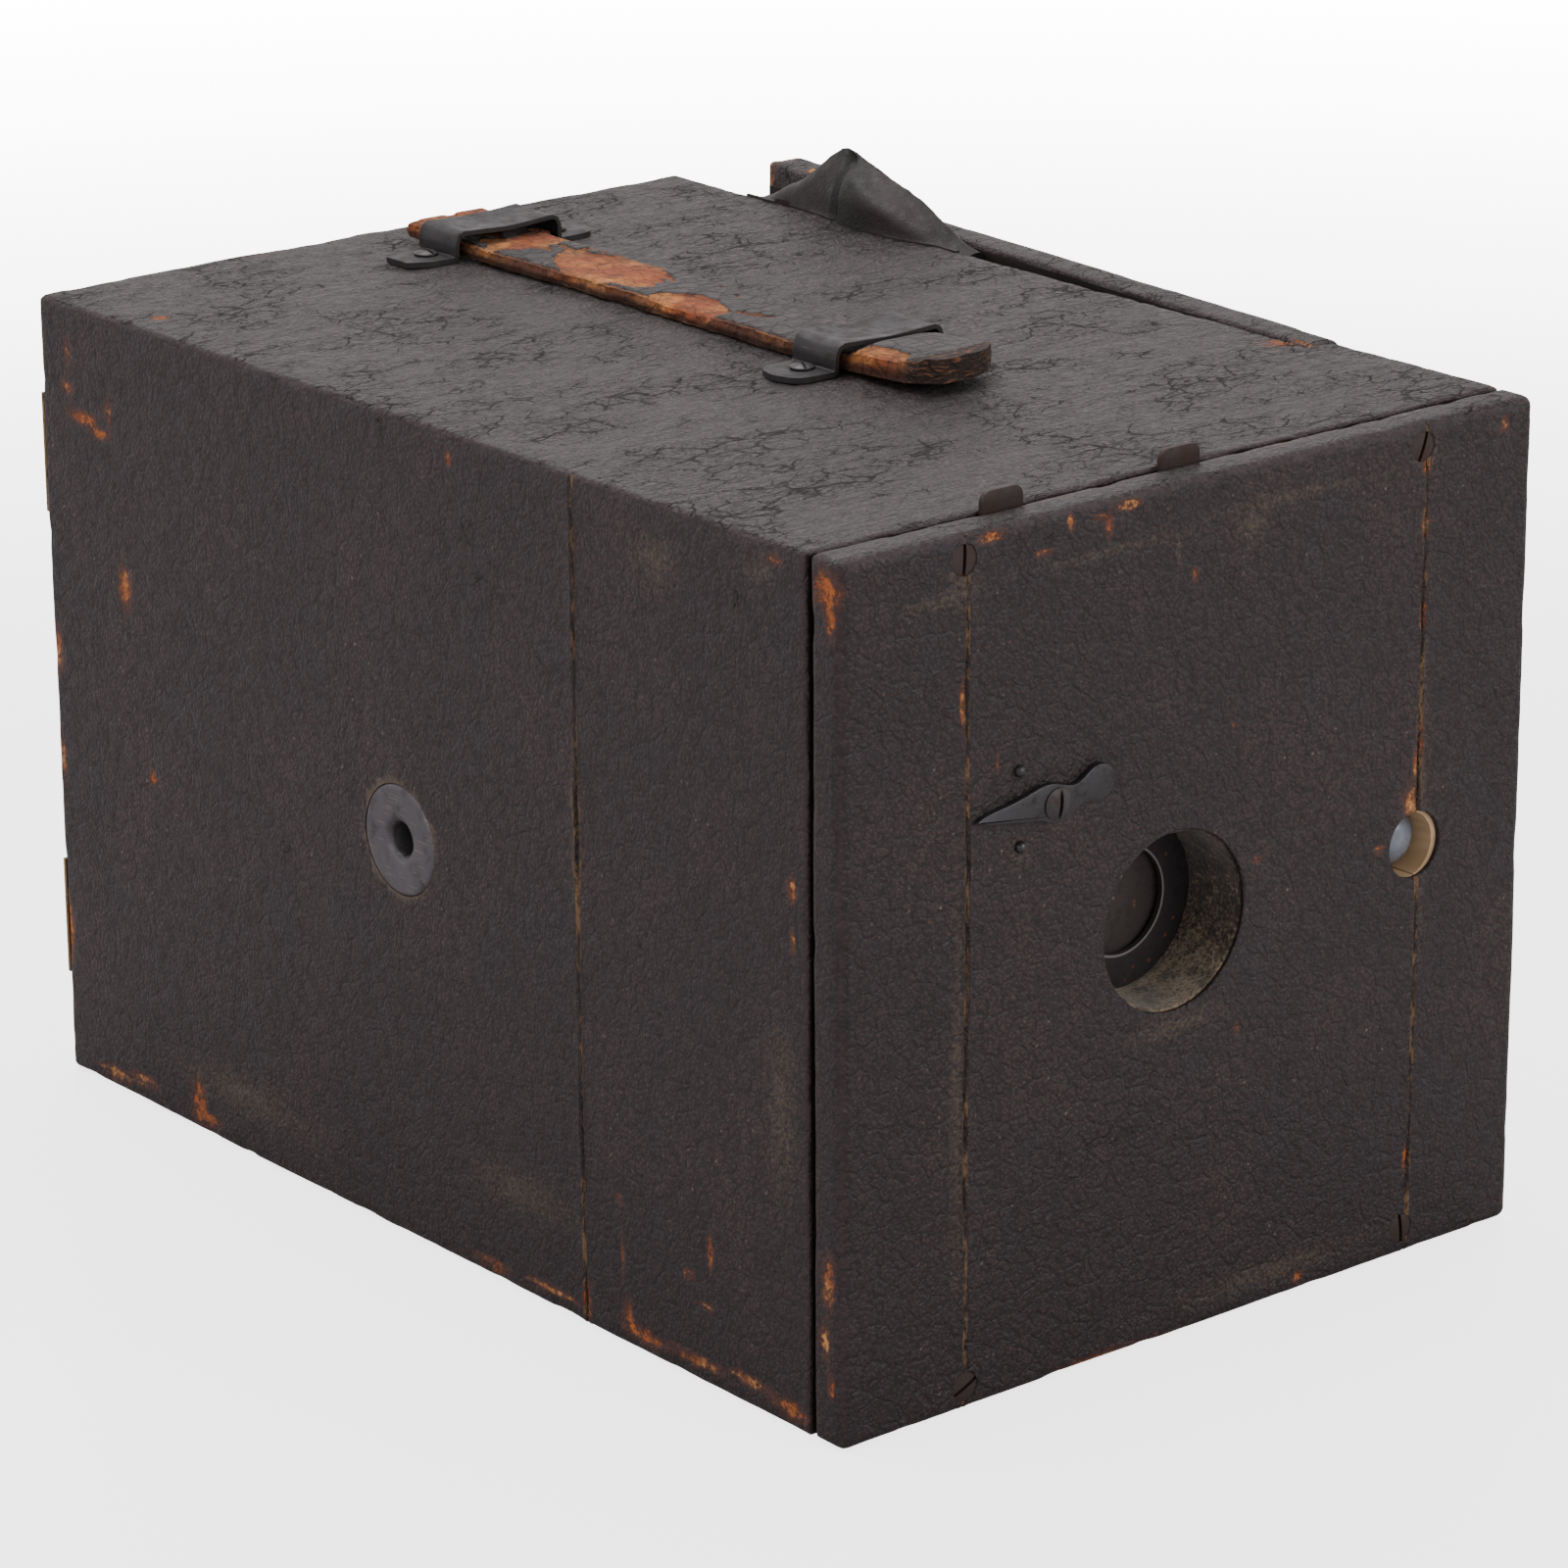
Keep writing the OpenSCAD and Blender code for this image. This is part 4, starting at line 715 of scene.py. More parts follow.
figure, given, result = new_group("board_grain", {"Place": None, "Rings": 160.0}, ["Figure", "Fibre"])
bent = shade(figure, "VectorMath", {0: given["Place"], 1: shade(
    figure, "VectorMath", {0: shade(figure, "TexNoise", {
        "Vector": stretched(figure, given["Place"], (1.0, 0.25, 1.0)), "Scale": 30.0}).outputs["Color"],
        1: (0.02, 0.02, 0.02)}, operation="MULTIPLY").outputs[0]}, operation="ADD").outputs[0]
long_way = stretched(figure, bent, (1.0, 0.06, 1.0))
figure.links.new(grain(figure, long_way, given["Rings"], 5.0, 0.6, 0.4), result["Figure"])
figure.links.new(grain(figure, stretched(figure, given["Place"], (1.0, 0.03, 1.0)), 2600.0, 3.0, 0.6),
                 result["Fibre"])


def wood_finish(name, pale, deep, rough, tip=0):
    """Planed board, grain along Y, or along Z when tipped; painted shade darkens it in the panel's gap."""
    material, tree, shader, place = new_material(name)
    deep_in = shade(tree, "SeparateXYZ", {0: place}).outputs["Y"]
    # painted shade: the wood is made near black in the narrow gap between the panel and the body
    gap_shade = ramp(tree, sums(tree, "ABSOLUTE", minus(tree, deep_in, panel_high.y + 0.8 * MM)),
                 1.4 * MM, 1.1 * MM)
    place = shade(tree, "Mapping", {"Vector": place, "Rotation": (tip, 0, 0)}).outputs[0]
    board = use(tree, figure, Place=place)
    colour = blend(tree, ramp(tree, board["Figure"], 0.35, 0.68), deep, pale)
    colour = blend(tree, ramp(tree, board["Fibre"], 0.55, 0.75, 0.0, 0.5), colour, deep)
    grime = ramp(tree, grain(tree, place, 45.0, 5.0, 0.6), 0.5, 0.75, 0.0, 0.7)
    colour = blend(tree, grime, colour, tuple(0.35 * c for c in deep))
    colour = blend(tree, gap_shade, colour, (0.008, 0.006, 0.005))
    wire(tree, shader, {
        "Base Color": colour, "Roughness": ramp(tree, board["Figure"], 0.3, 0.7, rough, rough + 0.15),
        "Specular IOR Level": 0.3, "Normal": raised(tree, board["Fibre"], 0.1 * MM)})
    return material


bare_wood = wood_finish("brown_board", (0.22, 0.125, 0.06), (0.1, 0.052, 0.025), 0.6)
pale_wood = wood_finish("pale_board", (0.62, 0.47, 0.29), (0.4, 0.27, 0.15), 0.6)
door_wood = wood_finish("door_board", (0.2, 0.115, 0.056), (0.1, 0.053, 0.026), 0.6, math.pi / 2)
dark_door_wood = wood_finish("dark_plate", (0.03, 0.024, 0.02), (0.012, 0.01, 0.009), 0.55, math.pi / 2)
black_wood = wood_finish("blackened_board", (0.03, 0.024, 0.02), (0.012, 0.01, 0.009), 0.55)


def dress(finish, *names):
    """Gives CAD nodes a finish."""
    for name in names:
        for held in frame["nodes"][name].material_slots:
            held.material = finish


dress(bare_wood, "base_board", "top_board", "left_board_front", "left_board_rear",
      "finder_side_block", "bag_side_board")
dress(door_wood, "rear_door")
dress(dark_door_wood, "pressure_plate", "shutter_board")
dress(pale_wood, "panel_centre", "panel_cleat_left", "panel_cleat_right")
dress(black_wood, "lid_board", "magazine_gate", "magazine_guides", "finder_box")

# ---------------------------------------------------------------- metal parts
# Blackened steel, brass gone brown, grey bronze, spring steel and black tin, all long untouched:
# the finish is blotched, and it is rubbed bright or rusty where fingers and edges met it.

tarnish, given, result = new_group("tarnish", {"Place": None, "Size": 300.0}, ["Blotch", "Scratch"])
tarnish.links.new(grain(tarnish, given["Place"], given["Size"], 5.0, 0.62), result["Blotch"])
swept = shade(tarnish, "Mapping", {"Vector": given["Place"], "Rotation": (0.4, 0.9, 0.3),
                                   "Scale": (1.0, 0.04, 1.0)}).outputs[0]
tarnish.links.new(ramp(tarnish, grain(tarnish, swept, 4200.0, 2.0, 0.5), 0.6, 0.74), result["Scratch"])


def metal_finish(name, main, spoiled, rubbed, metallic, rough, spread=0.5, size=300.0):
    """Old metal: main colour, spoiled in blotches, scratched through to the rubbed colour."""
    material, tree, shader, place = new_material(name)
    old = use(tree, tarnish, Place=place, Size=size)
    spoil = ramp(tree, old["Blotch"], 1.02 - spread, 1.22 - spread)
    colour = blend(tree, spoil, main, spoiled)
    colour = blend(tree, times(tree, old["Scratch"], 0.35), colour, rubbed)
    roughness = minus(tree, ramp(tree, old["Blotch"], 0.3, 0.7, rough, rough + 0.22),
                     times(tree, old["Scratch"], 0.06))
    height = minus(tree, old["Blotch"], times(tree, old["Scratch"], 0.25))
    wire(tree, shader, {"Base Color": colour, "Roughness": roughness, "Metallic": metallic,
                        "Normal": raised(tree, height, 0.05 * MM)})
    return material


black_steel = metal_finish("blackened_steel", (0.06, 0.055, 0.056), (0.045, 0.034, 0.03),
                           (0.2, 0.185, 0.17), 0.8, 0.36)
rusty_steel = metal_finish("rusty_steel", (0.035, 0.025, 0.023), (0.042, 0.021, 0.014),
                           (0.11, 0.085, 0.075), 0.4, 0.5, 0.6)
old_brass = metal_finish("brown_brass", (0.21, 0.14, 0.062), (0.075, 0.046, 0.025), (0.5, 0.36, 0.17),
                         1.0, 0.34)
spring_wire = metal_finish("spring_wire", (0.4, 0.4, 0.41), (0.2, 0.17, 0.14), (0.7, 0.7, 0.7), 1.0, 0.28)
tin = metal_finish("black_tin", (0.022, 0.022, 0.024), (0.05, 0.04, 0.035), (0.25, 0.25, 0.25),
                   0.35, 0.38)
dress(tin, "plate_sheaths")
dress(black_steel, "stop_plate", "lens_rings")

# painted highlight in a thin rim round the enamelled cover's opening; the blade behind it is dusty and
# pitted
for name, colour, edge_r in [("cover_enamel", (0.03, 0.025, 0.027), 10.25 * MM),
                             ("dusty_blade", (0.046, 0.037, 0.034), 0)]:
    material, tree, shader, place = new_material(name)
    off = shade(tree, "VectorMath", {0: place, 1: (lens_x, 0, lens_z)}, operation="SUBTRACT").outputs[0]
    flat_off = shade(tree, "VectorMath", {0: off, 1: (1, 0, 1)}, operation="MULTIPLY").outputs[0]
    radius = shade(tree, "VectorMath", {0: flat_off}, operation="LENGTH").outputs["Value"]
    # painted highlight: a thin light ring at the edge of the cover's opening
    rim_highlight = ramp(tree, sums(tree, "ABSOLUTE", minus(tree, radius, edge_r)), 0.3 * MM, 0.1 * MM)
    old = use(tree, tarnish, Place=place, Size=420.0)
    whole = blend(tree, ramp(tree, old["Blotch"], 0.45, 0.7, 0.0, 0.7), colour,
                  tuple(0.45 * c for c in colour))
    whole = blend(tree, times(tree, specks(tree, place, 520.0, 0.16, 0.2), 0.7), whole,
                  (0.2, 0.075, 0.03))
    whole = blend(tree, times(tree, rim_highlight, 0.75), whole, (0.28, 0.25, 0.24))
    wire(tree, shader, {"Base Color": whole, "Roughness": ramp(tree, old["Blotch"], 0.3, 0.7, 0.38, 0.6),
                        "Metallic": 0.3, "Normal": raised(tree, old["Blotch"], 0.05 * MM)})
    dress(material, "shutter_cover" if edge_r else "shutter_blade")
dress(old_brass, "cover_posts", "blade_stud", "lever_studs", "lens_flange", "flange_screws",
      "lens_barrel", "hinge_pins", "hinge_screws")
dress(spring_wire, "blade_spring", "pressure_springs")

# ---------------------------------------------------------------- glass
# The lens pair, the finder lens, mirror and ground glass, and the plates in their sheaths. All
# have a film of dust.


def glass_finish(name, tint, rough, dust, see_through):
    """Clear or ground glass under dust."""
    material, tree, shader, place = new_material(name)
    film = ramp(tree, grain(tree, place, 420.0, 5.0, 0.7), 0.35, 0.75, 0.2 * dust, dust)
    wire(tree, shader, {"Base Color": blend(tree, film, tint, (0.35, 0.33, 0.3)), "IOR": 1.5,
                        "Transmission Weight": see_through, "Roughness": plus(tree, film, rough)})
    return material


dress(glass_finish("lens_glass", (0.85, 0.9, 0.92), 0.02, 0.2, 0.9), "front_lens", "rear_lens")
finder_glass = glass_finish("finder_lens_glass", (0.15, 0.18, 0.22), 0.12, 0.22, 0.0)
dress(glass_finish("ground_glass", (0.6, 0.64, 0.63), 0.45, 0.3, 0.6), "finder_glass")
dress(glass_finish("plate_glass", (0.5, 0.52, 0.48), 0.1, 0.2, 0.3), "glass_plates")
mirror, tree, shader, place = new_material("silvered_glass")
film = grain(tree, place, 300.0, 5.0, 0.7)
wire(tree, shader, {"Base Color": blend(tree, ramp(tree, film, 0.5, 0.7), (0.75, 0.76, 0.76),
                                        (0.3, 0.27, 0.22)), "Metallic": 1.0,
                    "Roughness": ramp(tree, film, 0.4, 0.8, 0.05, 0.5)})
dress(mirror, "finder_mirror")

# ---------------------------------------------------------------- felt-lined lens hole
# A turned wooden ring behind the panel; its bore and the panel's are lined with brown felt that
# is full of dust and has gone bald in places.

felt, tree, shader, place = new_material("dusty_felt")
nap = grain(tree, place, 1500.0, 5.0, 0.75)
clumps = grain(tree, place, 260.0, 5.0, 0.7)
low_side = ramp(tree, shade(tree, "SeparateXYZ", {0: place}).outputs["Z"], lens_z + 2 * MM, lens_z - 17 * MM)
dust = times(tree, ramp(tree, plus(tree, nap, times(tree, low_side, 0.14)),
                                   0.5, 0.68), ramp(tree, clumps, 0.35, 0.6, 0.25, 1.0))
colour = blend(tree, ramp(tree, clumps, 0.35, 0.65), (0.012, 0.009, 0.007), (0.045, 0.032, 0.022))
colour = blend(tree, dust, colour, (0.3, 0.235, 0.15))
wire(tree, shader, {"Base Color": colour, "Roughness": ramp(tree, nap, 0.3, 0.7, 0.85, 1.0),
                    "Specular IOR Level": 0.15, "Sheen Weight": 0.3, "Sheen Roughness": 0.4,
                    "Normal": raised(tree, nap, 0.5 * MM)})


def turned(profile, middle, axis, sides=128):
    """Closed ring or disc spun from a profile of (radius, distance along the axis) points."""
    bm = bmesh.new()
    ring = [bm.verts.new((r, 0, h)) for r, h in profile]
    closed = profile[0][0] > 0 and profile[-1][0] > 0
    line = [bm.edges.new(pair) for pair in zip(ring, ring[1:])]
    if closed:
        line.append(bm.edges.new((ring[-1], ring[0])))
    bmesh.ops.spin(bm, geom=ring + line, axis=(0, 0, 1), cent=(0, 0, 0), angle=2 * math.pi,
                   steps=sides, use_merge=True)
    bmesh.ops.remove_doubles(bm, verts=bm.verts, dist=0.001 * MM)
    bmesh.ops.recalc_face_normals(bm, faces=bm.faces)
    turn = Vector((0, 0, 1)).rotation_difference(Vector(axis)).to_matrix().to_4x4()
    bmesh.ops.transform(bm, matrix=Matrix.Translation(middle) @ turn, verts=bm.verts)
    return bm


collar_r = (collar_high.x - collar_low.x) / 2
bore_r = lens_hole_r - 0.45 * MM
depth_of = collar_high.y - front_y
start = collar_low.y - front_y
profile = [(bore_r, 1.1 * MM), (lens_hole_r - 0.02 * MM, 0.9 * MM), (lens_hole_r - 0.02 * MM, start)]
profile += [(collar_r, start), (collar_r, depth_of), (bore_r, depth_of)]
profile += [(bore_r, depth_of - k * 0.5 * MM) for k in range(1, 26)]
bm = turned(profile, (lens_x, front_y, lens_z), (0, 1, 0), 160)
points = places_of(bm)
radial = points - np.array((lens_x, 0, lens_z))
radial[:, 1] = 0
radius = np.linalg.norm(radial, axis=1)
bald = 0.16 * uneven(points, 1.1 * MM, 41) + 0.16 * uneven(points, 5 * MM, 42)
inner = (radius < lens_hole_r - 0.1 * MM)[:, None]
points += np.where(inner, -radial / radius[:, None] * bald[:, None] * MM, 0)
move_to(bm, points)
piece("collar_felt", bm, "camera_body", felt, "board_wood", "lens_collar")

# ---------------------------------------------------------------- finder lens
# Small moulded lens, nearly a half ball, set in its box so that it bulges into the panel's hole.

eye_low, eye_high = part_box("finder_lens")
ball_r = 6.6 * MM
rim_r = 6.0 * MM
bulge_out = 1.4 * MM                             # how far the lens stands out in front of its node
seat = ball_r - math.sqrt(ball_r ** 2 - rim_r ** 2)
profile = [(ball_r * math.sin(a), ball_r * (1 - math.cos(a)) - seat)
           for a in np.linspace(0, math.asin(rim_r / ball_r), 22)]
profile += [(rim_r, bulge_out + eye_high.y - eye_low.y), (0, bulge_out + eye_high.y - eye_low.y)]
bm = turned(profile, (finder_x, eye_low.y - bulge_out, finder_z), (0, 1, 0), 72)
piece("finder_eye", bm, "camera_body", finder_glass, "optical_glass", "finder_lens", crease=35)

# ---------------------------------------------------------------- bush of the tripod screw
# Turned bronze bush let into the left wall, its flange a little proud of the leather. That was
# cut round it by hand, and old glue has crept out there.

bronze = metal_finish("grey_bronze", (0.098, 0.096, 0.103), (0.062, 0.055, 0.053), (0.42, 0.33, 0.24),
                      0.8, 0.36, 0.5, 210.0)
bush_r = (bush_high.y - bush_low.y) / 2
bore = 3.2 * MM
face = left_x - 0.35 * MM
round_over = [(bush_r - 1.1 * MM * (1 - math.cos(a)), 0.75 * MM * (1 - math.sin(a)))
              for a in np.linspace(0, math.pi / 2, 6)]
profile = [(bore, 9 * MM)] + [(bore, 1.3 * MM), (bore + 0.25 * MM, 0.85 * MM), (bore + 1.0 * MM, 0.28 * MM),
                              (bore + 1.5 * MM, 0.14 * MM), (bush_r * 0.62, 0.1 * MM)]
profile += round_over[::-1] + [(bush_r, 2.5 * MM), (7 * MM, 2.6 * MM), (7 * MM, 9 * MM)]
bm = turned(profile, (face, bush_y, bush_z), (1, 0, 0))
points = places_of(bm)
points[:, 0] += np.where(points[:, 0] < face + 2 * MM, 0.06 * MM * uneven(points, 6 * MM, 45), 0)
move_to(bm, points)
piece("bush_flange", bm, "camera_body", bronze, "grey_bronze", "tripod_bush")

# ---------------------------------------------------------------- screws
# Iron wood screws with filed slots, gone dull and a little rusty.


def slotted_screw(middle, axis, head_r, dome, shank_r, length, slot_w, slot_d, slot_along):
    """Countersunk screw whose head stands a dome's height over its middle point."""
    crown = [(head_r * math.sin(a), -dome * (math.cos(a) - math.cos(0.5)) / (1 - math.cos(0.5)))
             for a in np.linspace(0, 0.5, 5)]
    stretch = head_r / crown[-1][0]
    crown = [(r * stretch, h) for r, h in crown]
    profile = crown + [(head_r, 0.25 * MM), (shank_r, 0.25 * MM + head_r - shank_r),
                       (shank_r, length), (0, length)]
    screw = turned(profile, middle, axis, 48)
    slot = bmesh.new()
    across = Vector(axis).cross(Vector(slot_along)).normalized()
    reach = [3 * head_r * Vector(slot_along), slot_w * across, 2 * slot_d * Vector(axis)]
    grid = Matrix([[reach[c][r] for c in range(3)] for r in range(3)]).to_4x4()
    bmesh.ops.create_cube(slot, size=1.0, matrix=Matrix.Translation(
        Vector(middle) - Vector(axis) * dome) @ grid)
    bmesh.ops.recalc_face_normals(slot, faces=slot.faces)
    return cut(screw, slot)


def join(parts):
    """One bmesh of several."""
    whole = bmesh.new()
    for part in parts:
        mesh = bpy.data.meshes.new("part")
        part.to_mesh(mesh)
        part.free()
        whole.from_mesh(mesh)
        bpy.data.meshes.remove(mesh)
    return whole


tilts = [0.05, 1.15, 0.35, -0.1]
bm = join([slotted_screw((x, front_y + 0.2 * MM, z), (0, 1, 0), head_r=2.7 * MM, dome=0.22 * MM,
                         shank_r=1.4 * MM, length=17 * MM, slot_w=0.75 * MM, slot_d=0.75 * MM,
                         slot_along=(math.sin(a), 0, math.cos(a)))
           for (x, z), a in zip(panel_screws, tilts)])
piece("panel_screw_set", bm, "camera_body", rusty_steel, "blackened_steel", "panel_screws")

# ---------------------------------------------------------------- stop selector
# Thin blackened steel lever filed to an S, with a pointed tail and a round paddle, on a slotted
# spindle that carries the stop plate. Two domed pins limit its swing.

outline = [(-18.4, 0.4), (-16.6, 1.3), (-14, 1.7), (-11, 2.1), (-8.4, 2.6), (-5.6, 3.3), (-3, 4.0),
           (-0.4, 3.9), (2, 3.0), (4.2, 2.5), (6.2, 3.4), (8.2, 4.9), (10.4, 5.3), (12.4, 4.5), (13.5, 2.5),
           (13.2, 0.4), (11.6, -1.1), (9.6, -1.4), (7.6, -1.1), (5.6, -1.2), (3.8, -2.2), (1.8, -3.4),
           (-0.6, -3.6), (-2.4, -2.9), (-4, -2.2), (-6.4, -2.1), (-9, -1.5), (-12, -1.1), (-15, -0.7)]
bm = bmesh.new()
rim = [bm.verts.new((spindle_x + u * MM, 0, spindle_z + w * MM)) for u, w in outline]
bm.faces.new(rim)
for _ in range(2):
    bmesh.ops.subdivide_edges(bm, edges=list(bm.edges), cuts=1)
    before = {v: v.co.copy() for v in bm.verts}
    for v in bm.verts:
        one, other = [e.other_vert(v) for e in v.link_edges]
        if v.co.x >= spindle_x - 18 * MM:            # the pointed tail stays sharp
            v.co = before[v] * 0.5 + (before[one] + before[other]) * 0.25
bmesh.ops.recalc_face_normals(bm, faces=bm.faces)
lever_t = 0.95 * MM
lifted = bmesh.ops.extrude_face_region(bm, geom=list(bm.faces))
bmesh.ops.translate(bm, verts=[g for g in lifted["geom"] if isinstance(g, bmesh.types.BMVert)],
                    vec=(0, -lever_t, 0))
bmesh.ops.recalc_face_normals(bm, faces=bm.faces)
bmesh.ops.translate(bm, verts=bm.verts, vec=(0, front_y - 0.3 * MM, 0))
front_edges = [e for e in bm.edges if all(v.co.y < front_y - 1 * MM for v in e.verts)]
bmesh.ops.bevel(bm, geom=front_edges, offset=0.34 * MM, offset_type="OFFSET", segments=2, profile=0.5,
                affect="EDGES", material=-1)
bmesh.ops.triangulate(bm, faces=[f for f in bm.faces if len(f.verts) > 4])
lever_steel = metal_finish("selector_steel", (0.05, 0.05, 0.052), (0.03, 0.026, 0.026), (0.2, 0.19, 0.18),
                           0.85, 0.3)
piece("selector_lever", bm, "stop_selector", lever_steel, "blackened_steel",
                       "stop_selector", crease=30)
spindle_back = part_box("selector_spindle")[1].y
bm = slotted_screw((spindle_x, front_y - 1.5 * MM, spindle_z), (0, 1, 0), head_r=2.9 * MM, dome=0.85 * MM,
                   shank_r=1.85 * MM, length=spindle_back - front_y + 1.5 * MM, slot_w=0.8 * MM,
                   slot_d=0.75 * MM, slot_along=(0.12, 0, 0.99))
piece("selector_screw", bm, "stop_selector", black_steel, "blackened_steel",
                       "selector_spindle")
pins = []
for x, z in stop_pins:
    dome = [(1.1 * MM * math.sin(a), -1.0 * MM * math.cos(a) + 0.1 * MM) for a in np.linspace(0, 1.7, 9)]
    pins.append(turned(dome + [(0.65 * MM, 0.3 * MM), (0.65 * MM, 4.4 * MM), (0, 4.4 * MM)],
                       (x, front_y - 0.25 * MM, z), (0, 1, 0), 40))
piece("domed_pins", join(pins), "camera_body", lever_steel, "blackened_steel", "stop_pins")

# ---------------------------------------------------------------- shutter levers
# Flat levers punched from sheet iron. Only their rounded tabs stand up out of the gap behind
# the panel, brown with rust and thumb-worn.


def softened(name, body, finish, slot, node, width, crease=35):
    """Copy of a CAD node with its sharp edges broken, to show instead of it."""
    bm = bmesh.new()
    bm.from_mesh(frame["nodes"][node].data)
    bmesh.ops.remove_doubles(bm, verts=bm.verts, dist=0.002 * MM)
    bmesh.ops.dissolve_limit(bm, angle_limit=math.radians(2), verts=bm.verts, edges=bm.edges,
                             use_dissolve_boundaries=False)
    sharp = [e for e in bm.edges if e.is_manifold and e.calc_face_angle() > math.radians(50)]
    bmesh.ops.bevel(bm, geom=sharp, offset=width, offset_type="OFFSET", segments=2, profile=0.5,
                    affect="EDGES", material=-1, clamp_overlap=True)
    bmesh.ops.triangulate(bm, faces=[f for f in bm.faces if len(f.verts) > 4])
    return piece(name, bm, body, finish, slot, node, crease=crease)


softened("setting_tab", "setting_lever", rusty_steel, "blackened_steel", "setting_lever", 0.25 * MM)
softened("release_tab", "release_lever", rusty_steel, "blackened_steel", "release_lever", 0.25 * MM)

# ---------------------------------------------------------------- turn button and hinges
# Brass gone brown: the button that holds the rear door shut, and the leaves of the hinges of
# the door and the lid, with their sharp edges broken.

softened("door_button", "turn_button", old_brass, "aged_brass", "turn_button", 0.2 * MM)
softened("door_hinges", "rear_door", old_brass, "aged_brass", "door_hinge_leaves", 0.12 * MM)
softened("lid_hinges", "bag_lid", old_brass, "aged_brass", "lid_hinge_leaves", 0.12 * MM)
softened("body_hinges", "camera_body", old_brass, "aged_brass", "body_hinge_leaves", 0.12 * MM)

# ---------------------------------------------------------------- strap loops
# Two bridges bent from blackened sheet steel, each with rounded feet, screwed to the top. The
# middle of each bridge has been pulled into a shallow saddle.

strap_low, strap_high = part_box("strap")
loop_low, loop_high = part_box("strap_loops")
strap_x = (loop_low.x + loop_high.x) / 2
strap_mid = (strap_low.x + strap_high.x) / 2
loop_l = 12.5 * MM
loop_t = 1.1 * MM
loop_ys = [loop_low.y + loop_l / 2, loop_high.y - loop_l / 2]
half_in = 11 * MM
bridge_z = 4.9 * MM
foot_l = 9.4 * MM
corner = 1.5 * MM


def bridge_path(s):
    """Place and tilt of the bridge's underside at s along it from the middle: (x, z, angle)."""
    side = 1 if s >= 0 else -1
    s = abs(s)
    top = half_in + loop_t - corner
    bend = corner * math.pi / 2
    leg = bridge_z + loop_t - 2 * corner
    if s < top:
        return side * s, bridge_z, 0
    s -= top
    if s < bend:
        a = s / corner
        return side * (top + corner * math.sin(a)), bridge_z - corner * (1 - math.cos(a)), side * a
    s -= bend
    if s < leg:
        return side * (top + corner), bridge_z - corner - s, side * math.pi / 2
    s -= leg
    if s < bend:
        a = math.pi / 2 - s / corner
        return (side * (top + corner + corner * (1 - math.sin(a))),
                corner * (1 - math.cos(a)), side * a)
    s -= bend
    return side * (top + 2 * corner + s), 0, 0


whole = half_in + loop_t - corner + math.pi * corner + bridge_z + loop_t - 2 * corner + foot_l
bridges = []
for number, y in enumerate(loop_ys):
    bm = grid_box([ruled(-whole, whole, 0.8 * MM), ruled(-loop_l / 2, loop_l / 2, 0.8 * MM,
                   *near(-loop_l / 2, 0.25), *near(loop_l / 2, 0.25)), ruled(0, loop_t, 0.5 * MM)])
    bent = []
    for s, w, h in places_of(bm):
        x, z, angle = bridge_path(s)
        tip = max(0, abs(s) - (whole - 4.4 * MM)) / (4.4 * MM)
        w *= math.sqrt(max(0.02, 1 - tip ** 2.4)) if number == 0 or s > 0 else 1 - 0.42 * tip
        w *= 1 - 0.06 * step(np.array(abs(s)), 8 * MM, whole)
        soft = 0.12 * MM * (1 if h > loop_t / 2 else -1) * step(np.array(abs(w)), 5.9 * MM, 6.2 * MM)
        saddle = -0.5 * MM * math.cos(min(1, abs(x) / half_in) * math.pi / 2) if z > bridge_z - MM else 0
        lift = 0.25 * MM * noise.noise(Vector((s, w, y)) / (9 * MM))
        edge_up = 0.3 * MM * (abs(w) / (loop_l / 2)) ** 3 if z > bridge_z - MM else 0
        bent.append((strap_x + x + (h - soft) * math.sin(angle),
                     y + w, body_top + z + (h - soft) * math.cos(angle) + saddle
                     + (lift + edge_up if z > 2 * MM else 0.02 * MM)))
    move_to(bm, bent)
    bmesh.ops.recalc_face_normals(bm, faces=bm.faces)
    bridges.append(bm)
loop_steel = metal_finish("loop_steel", (0.042, 0.039, 0.04), (0.032, 0.026, 0.024), (0.17, 0.15, 0.14),
                          0.75, 0.42)
piece("strap_bridges", join(bridges), "camera_body", loop_steel, "blackened_steel",
                      "strap_loops", crease=50)
screw_reach = half_in + loop_t + 3.8 * MM
bm = join([slotted_screw((strap_x + side * screw_reach, y, body_top + loop_t + 0.45 * MM), (0, 0, -1),
                         head_r=2.4 * MM, dome=0.6 * MM, shank_r=1.2 * MM, length=7.5 * MM,
                         slot_w=0.6 * MM, slot_d=0.6 * MM,
                         slot_along=(math.cos(2 * y / MM), math.sin(2 * y / MM), 0))
           for y in loop_ys for side in (-1, 1)])
piece("loop_screw_set", bm, "camera_body", black_steel, "blackened_steel", "loop_screws")

# ---------------------------------------------------------------- strap
# The carrying strap: layers of hide glued together, black outside and orange-tan within. It is
# dry and perished, so the black skin has flaked off, the edges are frayed, the middle sags on to
# the top, and the front end is torn off behind its loop.

